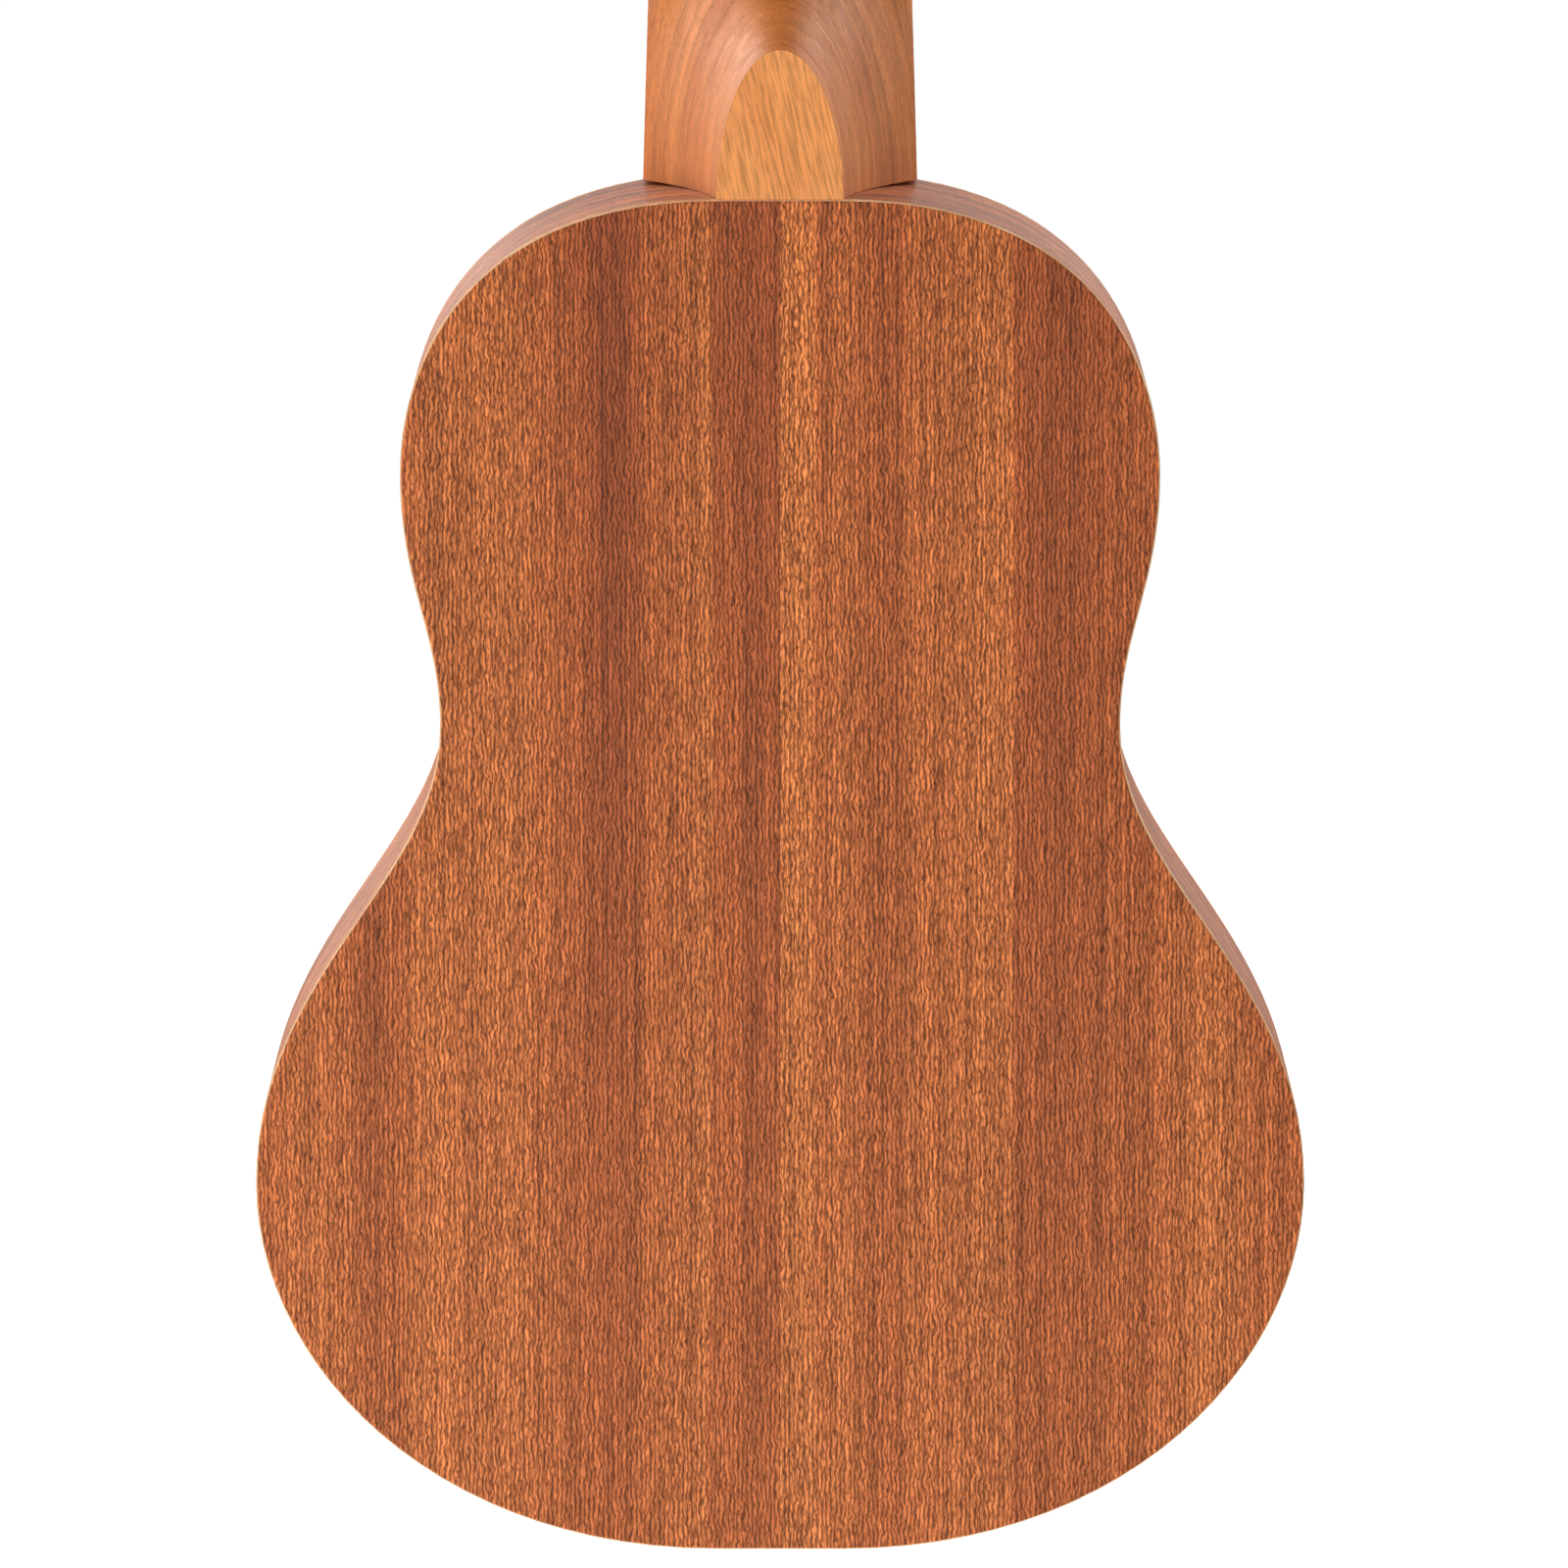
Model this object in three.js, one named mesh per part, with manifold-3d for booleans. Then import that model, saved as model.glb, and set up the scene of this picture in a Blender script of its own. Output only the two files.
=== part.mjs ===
// Soprano ukulele, modelled as the separate pieces that a maker glues and screws together.
// Millimetres. +Z runs up the neck, +Y faces out of the soundboard, the back faces -Y.
// The origin is on the centre line of the neck at the nut, on the plane where the
// fretboard is glued to the neck, and that plane is also the outer face of the soundboard.
import * as THREE from 'three';
import { mergeVertices } from 'three/addons/utils/BufferGeometryUtils.js';
import Module from 'manifold-3d';

const wasm = await Module();
wasm.setup();

// ---- driving dimensions -------------------------------------------------------------

const scale = 345; // vibrating string length, nut to saddle
const fretCount = 12;
const body = {
  top: -173, // neck end of the body, on the Z axis
  length: 229,
  depth: 57, // outside of the soundboard to outside of the back
  plate: 2, // soundboard and back thickness
  rib: 1.8, // side thickness
};
// Half widths of the body, and how far below the neck end each lies.
const bouts = {
  neckFlat: 10.5,
  upper: { half: 63.8, at: 46.4, above: 19.5, below: 18.6 },
  waist: { half: 57.2, at: 88.6, above: 15.5, below: 26.8 },
  lower: { half: 88.5, at: 166.6, above: 36.4, below: 30.6 },
  shoulderPull: 41.8, // how far the curve runs level out of the neck flat
  tailPull: 48,
  tailFlat: 10.8,
};
const soundHole = { radius: 25, z: -247 };
const glueGap = 0.3; // between curved faces that meet
const curveSteps = 9; // straight steps in each stretch of the body outline

const neckSize = {
  halfAtBody: 23.35,
  halfAtNut: 18.75,
  thickAtBody: 15.5,
  thickAtNut: 13.5,
  roundness: 0.84, // exponent of the half-oval section; 1 is an ellipse
};
const heel = {
  capHalf: 10.6, // half width of the flat cap where it meets the body
  capLength: 25, // cap from the body to its tip
  curveLength: 44, // from the body to where the plain shaft begins
  sideDepth: 13, // upright side below the fretboard plane
  flare: 1.6, // exponent of the hollow side
};
const tenon = { half: 8, length: 12, front: -6, back: -50 };
const fretboard = { thick: 4, pastBody: 5.5, slotWide: 0.6, slotDeep: 1.7 };
const nut = { thick: 5, top: 6.3, slotFloor: 5.4, slotWide: 1.1 };
const head = { tilt: THREE.MathUtils.degToRad(12), thick: 12.5, length: 124 };
const saddle = { z: -346.6, thick: 2.8, half: 26, foot: 2.6, top: 9.5 };
const bridge = {
  half: 40,
  blockHalf: 29,
  front: -340,
  back: -361,
  height: 6.5,
  wing: 3.2,
  tieHole: 4.6, // height of the string holes above the soundboard
  holeRadius: 0.9,
};
// One row for each string: x at the nut, x at the saddle, radius, and its tuner's place.
const strings = [
  { name: 'g', nutX: 14, saddleX: 20.5, radius: 0.31, side: 1, along: 36 },
  { name: 'c', nutX: 4.7, saddleX: 6.8, radius: 0.43, side: 1, along: 78 },
  { name: 'e', nutX: -4.7, saddleX: -6.8, radius: 0.36, side: -1, along: 78 },
  { name: 'a', nutX: -14, saddleX: -20.5, radius: 0.3, side: -1, along: 36 },
];
const tuner = {
  x: 17, // post axis from the head's centre line
  postRadius: 3,
  postTop: 13, // above the head's front face
  stringHole: 8,
  teeth: 14,
  cogRadius: 4.65,
  toothHeight: 0.5,
  cogThick: 2.6,
  pitch: 2.08, // advance of the single-start worm in one turn
  wormRadius: 2.15,
  threadHeight: 0.55,
  threadLength: 9.36,
  axes: 7.05, // worm axis from post axis
  gearDrop: 4.6, // worm axis below the head's back face
  shaftRadius: 1.5,
  plateHalf: 6.6,
  plateFrom: -12,
  plateTo: 17,
  plateThick: 1,
  earThick: 1.2,
  earReach: 7.2,
  buttonAt: 21.5, // start of the button from the post axis
  buttonLong: 15,
};

// ---- colours and finishes -------------------------------------------------------------

const finish = (color, roughness, metalness = 0) =>
  new THREE.MeshStandardMaterial({ color, roughness, metalness });
const materials = {
  sapele: finish(0x9c5530, 0.55),
  okoume: finish(0xbd7743, 0.55),
  walnut: finish(0x4a2e1e, 0.5),
  spruce: finish(0xd9bb88, 0.8),
  bone: finish(0xe8dfca, 0.4),
  nickel: finish(0xc9c7c2, 0.25, 1),
  brass: finish(0xb8944d, 0.35, 1),
  ivoryPlastic: finish(0xe6dcc4, 0.3),
  clearString: finish(0xe9e6de, 0.25),
};

// ---- solids ---------------------------------------------------------------------------

function toSolid(geometry) {
  const plain = new THREE.BufferGeometry();
  plain.setAttribute('position', geometry.getAttribute('position'));
  if (geometry.index) plain.setIndex(geometry.index);
  const merged = mergeVertices(plain, 1e-4);
  return new wasm.Manifold(
    new wasm.Mesh({
      numProp: 3,
      vertProperties: new Float32Array(merged.attributes.position.array),
      triVerts: new Uint32Array(merged.index.array),
    }),
  );
}

function toGeometry(solid) {
  const mesh = solid.getMesh();
  const geometry = new THREE.BufferGeometry();
  const position = new THREE.BufferAttribute(mesh.vertProperties, 3);
  geometry.setAttribute('position', position);
  geometry.setIndex(new THREE.BufferAttribute(mesh.triVerts, 1));
  return geometry;
}

const cut = (geometry, ...tools) =>
  toGeometry(tools.reduce((s, t) => s.subtract(toSolid(t)), toSolid(geometry)));
const join = (geometry, ...others) =>
  toGeometry(others.reduce((s, o) => s.add(toSolid(o)), toSolid(geometry)));
const common = (geometry, other) =>
  toGeometry(toSolid(geometry).intersect(toSolid(other)));

// A box from its lowest corner to its highest.
function block(x0, y0, z0, x1, y1, z1) {
  const box = new THREE.BoxGeometry(x1 - x0, y1 - y0, z1 - z0);
  return box.translate((x0 + x1) / 2, (y0 + y1) / 2, (z0 + z1) / 2);
}

// A flat board: an outline in (x, z) that is `thick` deep behind its front face at y.
function board(shape, y, thick, curveSegments = curveSteps) {
  const options = { depth: thick, bevelEnabled: false, curveSegments };
  const geometry = new THREE.ExtrudeGeometry(shape, options);
  return geometry.rotateX(Math.PI / 2).translate(0, y, 0);
}

// A bar with an outline in (y, z), running along X from -half to half.
function bar(points, half) {
  const shape = new THREE.Shape(points.map(([y, z]) => new THREE.Vector2(-z, y)));
  const options = { depth: 2 * half, bevelEnabled: false };
  const geometry = new THREE.ExtrudeGeometry(shape, options);
  return geometry.rotateY(Math.PI / 2).translate(-half, 0, 0);
}

// A round rod between two points.
function rod(from, to, radius, sides = 8) {
  const along = new THREE.Vector3().subVectors(to, from);
  const geometry = new THREE.CylinderGeometry(radius, radius, along.length(), sides);
  const turn = new THREE.Quaternion().setFromUnitVectors(
    new THREE.Vector3(0, 1, 0),
    along.clone().normalize(),
  );
  const middle = new THREE.Vector3().addVectors(from, to).multiplyScalar(0.5);
  return geometry.applyQuaternion(turn).translate(middle.x, middle.y, middle.z);
}

// A wire of one radius through a list of points, mitred at each bend.
function wire(route, radius) {
  const spans = route.length - 1;
  const geometry = new THREE.CylinderGeometry(1, 1, 1, 8, spans);
  const position = geometry.getAttribute('position');
  for (let i = 0; i < position.count; i += 1) {
    const level = Math.round((0.5 - position.getY(i)) * spans);
    const before = route[Math.max(0, level - 1)];
    const after = route[Math.min(spans, level + 1)];
    const here = route[level];
    const along = new THREE.Vector3();
    if (level > 0) along.add(here.clone().sub(before).normalize());
    if (level < spans) along.add(after.clone().sub(here).normalize());
    along.normalize();
    const across = new THREE.Vector3(1, 0, 0).addScaledVector(along, -along.x).normalize();
    const up = new THREE.Vector3().crossVectors(along, across);
    const place = here.clone()
      .addScaledVector(across, position.getX(i) * radius)
      .addScaledVector(up, position.getZ(i) * radius);
    position.setXYZ(i, place.x, place.y, place.z);
  }
  return geometry;
}

const turned = (profile, sides) =>
  new THREE.LatheGeometry(profile.map(([r, y]) => new THREE.Vector2(r, y)), sides);

const root = new THREE.Group();
function piece(name, geometry, material, parent = root) {
  const mesh = new THREE.Mesh(geometry, material);
  mesh.name = name;
  parent.add(mesh);
  return mesh;
}

// ---- body outline ---------------------------------------------------------------------

// The stretches of the outline on the +X side, from the neck flat down to the tail flat.
function outlineStretches() {
  const at = (half, drop) => new THREE.Vector2(half, body.top - drop);
  const { upper, waist, lower } = bouts;
  const tail = body.length;
  return [
    new THREE.CubicBezierCurve(
      at(bouts.neckFlat, 0),
      at(bouts.neckFlat + bouts.shoulderPull, 0),
      at(upper.half, upper.at - upper.above),
      at(upper.half, upper.at),
    ),
    new THREE.CubicBezierCurve(
      at(upper.half, upper.at),
      at(upper.half, upper.at + upper.below),
      at(waist.half, waist.at - waist.above),
      at(waist.half, waist.at),
    ),
    new THREE.CubicBezierCurve(
      at(waist.half, waist.at),
      at(waist.half, waist.at + waist.below),
      at(lower.half, lower.at - lower.above),
      at(lower.half, lower.at),
    ),
    new THREE.CubicBezierCurve(
      at(lower.half, lower.at),
      at(lower.half, lower.at + lower.below),
      at(bouts.tailFlat + bouts.tailPull, tail),
      at(bouts.tailFlat, tail),
    ),
  ];
}

// Points down the +X side, moved in by `inset`, from x = neckX at the neck to x = 0 at the tail.
function sidePoints(inset, neckX = 0) {
  const points = [new THREE.Vector2(neckX, body.top - inset)];
  outlineStretches().forEach((curve, i) => {
    for (let k = i ? 1 : 0; k <= curveSteps; k += 1) {
      const t = k / curveSteps;
      const tangent = curve.getTangent(t);
      const inward = new THREE.Vector2(tangent.y, -tangent.x);
      points.push(curve.getPoint(t).addScaledVector(inward, inset));
    }
  });
  points.push(new THREE.Vector2(0, body.top - body.length + inset));
  return points;
}

const mirrored = (points) => points.map((p) => new THREE.Vector2(-p.x, p.y));

function fullOutline(inset = 0) {
  const right = sidePoints(inset).slice(1, -1); // without the points on the centre line
  return new THREE.Shape([...right, ...mirrored(right).reverse()]);
}

// A strip that follows the +X side between two insets.
function sideStrip(outer, inner, neckX) {
  return [...sidePoints(outer, neckX), ...sidePoints(inner, neckX).reverse()];
}

// ---- body -----------------------------------------------------------------------------

const insideFront = -body.plate;
const insideBack = body.plate - body.depth;
const innerDepth = insideFront - insideBack;

function addPlates() {
  const front = fullOutline();
  const hole = new THREE.Path();
  hole.absarc(0, soundHole.z, soundHole.radius, 0, 2 * Math.PI, false);
  front.holes.push(hole);
  piece('soundboard', board(front, 0, body.plate, 32), materials.sapele);
  piece('back_plate', board(fullOutline(), insideBack, body.plate), materials.sapele);
}

function addRibs() {
  const right = sideStrip(0, body.rib, tenon.half + glueGap);
  for (const [name, points] of [['bass_rib', right], ['treble_rib', mirrored(right)]])
    piece(name, board(new THREE.Shape(points), insideFront, innerDepth), materials.sapele);
}

const neckBlock = { half: 27, thick: 22 };
const tailBlock = { half: 25, thick: 12 };

function addBlocks() {
  const inside = board(fullOutline(body.rib + glueGap), insideFront, innerDepth);
  const bottom = body.top - body.length;
  const neckBox = block(
    -neckBlock.half, insideBack, body.top - neckBlock.thick,
    neckBlock.half, insideFront, body.top,
  );
  const tailBox = block(
    -tailBlock.half, insideBack, bottom,
    tailBlock.half, insideFront, bottom + tailBlock.thick,
  );
  const mortise = block(
    -tenon.half - glueGap, tenon.back - glueGap, body.top - tenon.length - glueGap,
    tenon.half + glueGap, tenon.front + glueGap, body.top,
  );
  piece('neck_block', cut(common(inside, neckBox), mortise), materials.spruce);
  piece('tail_block', common(inside, tailBox), materials.spruce);
}

const lining = { thick: 4.2, height: 7 };

function addLinings() {
  const outer = body.rib + glueGap;
  const right = sideStrip(outer, outer + lining.thick);
  const bottom = body.top - body.length;
  const clear = 0.8; // between the lining's ends and the blocks
  const atNeck = block(
    -neckBlock.half - clear, -body.depth, body.top - neckBlock.thick,
    neckBlock.half + clear, 0, body.top + 1,
  );
  const atTail = block(
    -tailBlock.half - clear, -body.depth, bottom - 1,
    tailBlock.half + clear, 0, bottom + tailBlock.thick + lining.thick,
  );
  const edges = { top: insideFront, back: insideBack + lining.height };
  for (const [edge, y] of Object.entries(edges))
    for (const [side, points] of [['bass', right], ['treble', mirrored(right)]]) {
      const strip = board(new THREE.Shape(points), y, lining.height);
      piece(`${edge}_lining_${side}`, cut(strip, atNeck, atTail), materials.spruce);
    }
}

// A ladder brace across the inside of a plate, thinner towards its ends.
function brace(half, height, z, onBack) {
  const out = onBack ? 1 : -1;
  const face = onBack ? insideBack : insideFront;
  const ends = half - 14;
  const profile = [
    [-half, 0], [half, 0], [half, 2], [ends, height], [-ends, height], [-half, 2],
  ];
  const shape = new THREE.Shape(profile.map(([x, y]) => new THREE.Vector2(x, face + out * y)));
  const wide = 6;
  const geometry = new THREE.ExtrudeGeometry(shape, { depth: wide, bevelEnabled: false });
  return geometry.translate(0, 0, z - wide / 2);
}

function addBraces() {
  piece('upper_top_brace', brace(53, 9, -207, false), materials.spruce);
  piece('lower_top_brace', brace(55, 9, -286, false), materials.spruce);
  piece('upper_back_brace', brace(54, 8, -224, true), materials.spruce);
  piece('lower_back_brace', brace(79, 8, -338, true), materials.spruce);
  const plate = block(-32, insideFront - 2, -364, 32, insideFront, -337);
  piece('bridge_plate', plate, materials.spruce);
}

// ---- neck -----------------------------------------------------------------------------

const mix = THREE.MathUtils.lerp;

// Half width of the neck and fretboard at height z.
const halfWidth = (z) => mix(neckSize.halfAtNut, neckSize.halfAtBody, z / body.top);
const shaftDepth = (z) => mix(neckSize.thickAtNut, neckSize.thickAtBody, z / body.top);

const sectionSteps = 11; // steps from the fretboard edge to the middle of the back

// One half of the neck's section at height z, from its edge round to the middle.
// `lift` is the distance above the body, and `share` how far the shaft has become heel.
function halfSection(z) {
  const lift = z - body.top;
  const w = halfWidth(z);
  const depth = shaftDepth(z);
  const sweep = (heel.curveLength - lift) / (heel.curveLength - heel.capLength);
  const share = sweep <= 0 ? 0 : 1 - Math.sqrt(1 - Math.min(1, sweep) ** 2);
  const tip = Math.max(0, 1 - (lift / heel.capLength) ** 2);
  const cap = Math.max(0.3, heel.capHalf * Math.sqrt(tip));
  const points = [];
  for (let k = 0; k <= sectionSteps; k += 1) {
    const turn = (k / sectionSteps) * (Math.PI / 2);
    const oval = new THREE.Vector2(
      w * Math.max(0, Math.cos(turn)) ** neckSize.roundness,
      -depth * Math.sin(turn) ** neckSize.roundness,
    );
    points.push(oval.lerp(heelPoint(k, w, cap), share));
  }
  return points;
}

// The same point where the section is all heel: upright side, hollow flare, flat cap.
function heelPoint(k, w, cap) {
  const upright = 2; // steps down the upright side
  const onCap = 2; // steps across half of the cap
  const flareSteps = sectionSteps - upright - onCap;
  if (k <= upright) return new THREE.Vector2(w, (-heel.sideDepth * k) / upright);
  if (k >= upright + flareSteps)
    return new THREE.Vector2((cap * (sectionSteps - k)) / onCap, -body.depth);
  const left = 1 - (k - upright) / flareSteps;
  return new THREE.Vector2(
    mix(cap, w, left ** heel.flare),
    mix(-body.depth, -heel.sideDepth, left),
  );
}

// Heights of the neck's sections, closest together where the heel turns.
function sectionHeights() {
  const heights = [0, 8, 14, 19, 22.5, 24.4].map((lift) => body.top + lift);
  for (let k = 7; k >= 1; k -= 1) {
    const turn = (k / 8) * (Math.PI / 2);
    const span = heel.curveLength - heel.capLength;
    heights.push(body.top + heel.curveLength - span * Math.sin(turn));
  }
  return [...heights, body.top + heel.curveLength, -90, -45, 0, nut.thick];
}

// The shaft and heel: a prism whose rings are moved onto the neck's sections.
function neckShaft() {
  const heights = sectionHeights();
  const unit = halfSection(0);
  const ring = [...unit, ...mirrored(unit).reverse().slice(1)];
  const options = { depth: 1, steps: heights.length - 1, bevelEnabled: false };
  const geometry = new THREE.ExtrudeGeometry(new THREE.Shape(ring), options);
  const position = geometry.getAttribute('position');
  const sections = heights.map((z) => {
    const half = halfSection(z);
    return [...half, ...mirrored(half).reverse().slice(1)];
  });
  for (let i = 0; i < position.count; i += 1) {
    const level = Math.round(position.getZ(i) * (heights.length - 1));
    const here = new THREE.Vector2(position.getX(i), position.getY(i));
    const corner = ring.findIndex((p) => p.distanceTo(here) < 1e-3);
    const { x, y } = sections[level][corner];
    position.setXYZ(i, x, y, heights[level]);
  }
  return geometry;
}

const headFrame = new THREE.Matrix4()
  .makeTranslation(0, 0, nut.thick)
  .multiply(new THREE.Matrix4().makeRotationX(head.tilt));

// The peghead in its own plane, its foot at z = 0 and its front face at y = 0.
function headBlank() {
  const foot = neckSize.halfAtNut;
  const shoulder = 27;
  const crown = 30;
  const shape = new THREE.Shape();
  shape.moveTo(foot, -0.5);
  shape.lineTo(foot, 2);
  shape.bezierCurveTo(foot, 10, shoulder, 10, shoulder, 20);
  shape.lineTo(crown, head.length - 12);
  shape.bezierCurveTo(crown, head.length - 3, 22, head.length - 1, 16, head.length - 4);
  shape.quadraticCurveTo(9, head.length - 8, 0, head.length);
  shape.quadraticCurveTo(-9, head.length - 8, -16, head.length - 4);
  shape.bezierCurveTo(-22, head.length - 1, -crown, head.length - 3, -crown, head.length - 12);
  shape.lineTo(-shoulder, 20);
  shape.bezierCurveTo(-shoulder, 10, -foot, 10, -foot, 2);
  shape.lineTo(-foot, -0.5);
  return board(shape, 0, head.thick, 6);
}

const bushing = { inner: 3.3, outer: 4.3, flange: 6.2, flangeThick: 1, long: 9 };

function addNeck() {
  const holes = strings.map(({ side, along }) =>
    new THREE.CylinderGeometry(bushing.outer + glueGap, bushing.outer + glueGap, 40, 12)
      .translate(side * tuner.x, 0, along),
  );
  const blank = cut(headBlank(), ...holes).applyMatrix4(headFrame);
  const tongue = block(
    -tenon.half, tenon.back, body.top - tenon.length,
    tenon.half, tenon.front, body.top + 1,
  );
  const nutSeat = block(-30, 0, -1, 30, 5, nut.thick + 0.1);
  piece('neck', cut(join(neckShaft(), blank, tongue), nutSeat), materials.okoume);
}

const fretZ = (n) => scale / 2 ** (n / 12) - scale;

function addFretboard() {
  const end = body.top - fretboard.pastBody;
  const corners = [[halfWidth(0), 0], [halfWidth(end), end], [-halfWidth(end), end],
    [-halfWidth(0), 0]];
  const shape = new THREE.Shape(corners.map(([x, z]) => new THREE.Vector2(x, z)));
  const numbers = Array.from({ length: fretCount }, (_, i) => i + 1);
  const slots = numbers.map((n) => {
    const z = fretZ(n);
    const half = fretboard.slotWide / 2;
    const floor = fretboard.thick - fretboard.slotDeep;
    return block(-30, floor, z - half, 30, fretboard.thick + 1, z + half);
  });
  piece('fretboard', cut(board(shape, fretboard.thick, fretboard.thick), ...slots),
    materials.walnut);
  for (const n of numbers)
    piece(`fret_${String(n).padStart(2, '0')}`, fretWire(fretZ(n)), materials.nickel);
}

// A fret: a low crown on the board and a tang in its slot.
function fretWire(z) {
  const top = fretboard.thick;
  const crown = [[0, 1], [0.45, 0.93], [0.9, 0.5], [1, 0]]; // half width, height
  const tang = [[0.2, 0], [0.2, 0.1 - fretboard.slotDeep]];
  const half = [...crown.slice().reverse(), ...crown.slice(1).map(([w, h]) => [-w, h])];
  const foot = [...tang.map(([w, h]) => [-w, h]), ...tang.slice().reverse()];
  const outline = [...half, ...foot].map(([w, h]) => [top + h, z + w]);
  return bar(outline, halfWidth(z) - 0.2);
}

function addNut() {
  const top = nut.top;
  const profile = [[0, 0], [top, 0], [top - 0.3, 2], [top - 1.6, nut.thick], [0, nut.thick]];
  const slots = strings.map(({ nutX, radius }) => {
    const half = nut.slotWide / 2;
    const drop = 0.45 - radius; // a thin string sits a little lower
    return block(nutX - half, nut.slotFloor - drop, -1, nutX + half, top + 1, nut.thick + 1);
  });
  piece('nut', cut(bar(profile, halfWidth(0) - 0.05), ...slots), materials.bone);
}

// ---- bridge ---------------------------------------------------------------------------

function addBridge() {
  const { front, back, height, wing } = bridge;
  const profile = [
    [0, front], [height - 1.5, front], [height, front - 2], [height, -349], [3, -350.5],
    [3, -353], [height + 0.6, -353.6], [height + 0.6, back + 1.5], [height - 1, back], [0, back],
  ];
  const middle = bar(profile, bridge.blockHalf);
  const wingProfile = [[0, front], [wing, front - 1.5], [wing, back + 1.5], [0, back]];
  const wings = bar(wingProfile, bridge.half);
  const slotHalf = saddle.thick / 2 + 0.1;
  const saddleSlot = block(
    -saddle.half - 0.2, saddle.foot - 0.1, saddle.z - slotHalf,
    saddle.half + 0.2, height + 5, saddle.z + slotHalf,
  );
  const holes = strings.map(({ saddleX }) =>
    rod(
      new THREE.Vector3(saddleX, bridge.tieHole, -351),
      new THREE.Vector3(saddleX, bridge.tieHole, back - 2),
      bridge.holeRadius,
    ),
  );
  piece('bridge', cut(join(middle, wings), saddleSlot, ...holes), materials.walnut);
  const half = saddle.thick / 2;
  const crown = [
    [saddle.foot, half], [saddle.top - 0.9, half], [saddle.top - 0.2, half * 0.55],
    [saddle.top, 0], [saddle.top - 0.7, -half * 0.55], [saddle.top - 1.5, -half],
    [saddle.foot, -half],
  ];
  const outline = crown.map(([y, dz]) => [y, saddle.z + dz]);
  piece('saddle', bar(outline, saddle.half), materials.bone);
}

// ---- strings --------------------------------------------------------------------------

function addStrings() {
  for (const string of strings) {
    const { radius } = string;
    const lie = 0.15; // daylight under a string where it bears on the nut and saddle
    const nutY = nut.slotFloor - (0.45 - radius) + radius + lie;
    const onPost = new THREE.Vector3(
      string.side * (tuner.x - tuner.postRadius - radius - 0.15), 6, string.along,
    ).applyMatrix4(headFrame);
    const route = [
      onPost,
      new THREE.Vector3(string.nutX, nutY, nut.thick - 1),
      new THREE.Vector3(string.nutX, nutY, 0),
      new THREE.Vector3(string.saddleX, saddle.top + radius + lie, saddle.z),
      new THREE.Vector3(string.saddleX, bridge.tieHole, -353.4),
      new THREE.Vector3(string.saddleX, bridge.tieHole, bridge.back - 1.2),
    ];
    piece(`string_${string.name}`, wire(route, radius), materials.clearString);
  }
}

// ---- tuners ---------------------------------------------------------------------------

// A tuner is built round its post: X points out of the head's side, Y out of its front,
// Z along it. The head's back face is at y = -head.thick.
const backFace = -head.thick - glueGap;
const gearY = backFace - tuner.gearDrop;

function tunerPlate() {
  const { plateHalf: w, plateFrom: a, plateTo: b } = tuner;
  const shape = new THREE.Shape();
  const corner = w - 1;
  shape.moveTo(w, a + corner);
  shape.lineTo(w, b - corner);
  shape.absarc(w - corner, b - corner, corner, 0, Math.PI / 2, false);
  shape.absarc(corner - w, b - corner, corner, Math.PI / 2, Math.PI, false);
  shape.absarc(corner - w, a + corner, corner, Math.PI, 1.5 * Math.PI, false);
  shape.absarc(w - corner, a + corner, corner, 1.5 * Math.PI, 2 * Math.PI, false);
  const base = board(shape, backFace, tuner.plateThick, 3);
  const ears = [-1, 1].map((side) => {
    const outer = side * w;
    const inner = side * (w - tuner.earThick);
    return block(
      Math.min(outer, inner), backFace - tuner.earReach, tuner.axes - 3.2,
      Math.max(outer, inner), backFace - 0.5, tuner.axes + 3.2,
    );
  });
  const shaftHole = rod(
    new THREE.Vector3(-2 * w, gearY, tuner.axes),
    new THREE.Vector3(2 * w, gearY, tuner.axes),
    tuner.shaftRadius + 0.35, 8,
  );
  const postHole = new THREE.CylinderGeometry(bushing.inner, bushing.inner, 8, 12)
    .translate(0, backFace, 0);
  return cut(join(base, ...ears), shaftHole, postHole);
}

// The worm: a rod whose surface is drawn out into a single-start thread.
function worm() {
  const rows = Math.round((tuner.threadLength / tuner.pitch) * 6);
  const long = tuner.threadLength;
  const thread = new THREE.CylinderGeometry(1, 1, long, 8, rows).rotateZ(-Math.PI / 2);
  const position = thread.getAttribute('position');
  for (let i = 0; i < position.count; i += 1) {
    const [x, y, z] = [position.getX(i), position.getY(i), position.getZ(i)];
    if (Math.hypot(y, z) < 0.5) continue; // middle of an end face
    const fromCog = Math.atan2(z, y) + Math.PI / 2; // 0 where the thread faces the cog
    const wave = Math.cos((2 * Math.PI * x) / tuner.pitch - fromCog);
    const r = tuner.wormRadius + tuner.threadHeight * wave;
    position.setXYZ(i, x, y * r, z * r);
  }
  const shaft = rod(
    new THREE.Vector3(-tuner.plateHalf - 1, 0, 0),
    new THREE.Vector3(tuner.buttonAt + 4, 0, 0),
    tuner.shaftRadius, 8,
  );
  return join(thread, shaft).translate(0, gearY, tuner.axes);
}

function cog() {
  const { teeth, cogRadius, toothHeight } = tuner;
  const steps = teeth * 4;
  const points = [];
  for (let k = 0; k < steps; k += 1) {
    const turn = (2 * Math.PI * k) / steps; // 0 faces the worm
    const r = cogRadius - toothHeight * Math.cos(teeth * turn);
    points.push(new THREE.Vector2(r * Math.sin(turn), r * Math.cos(turn)));
  }
  const shape = new THREE.Shape(points);
  const bore = new THREE.Path();
  bore.absarc(0, 0, 2.1, 0, 2 * Math.PI, false);
  shape.holes.push(bore);
  return board(shape, gearY + tuner.cogThick / 2, tuner.cogThick, 6);
}

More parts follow.
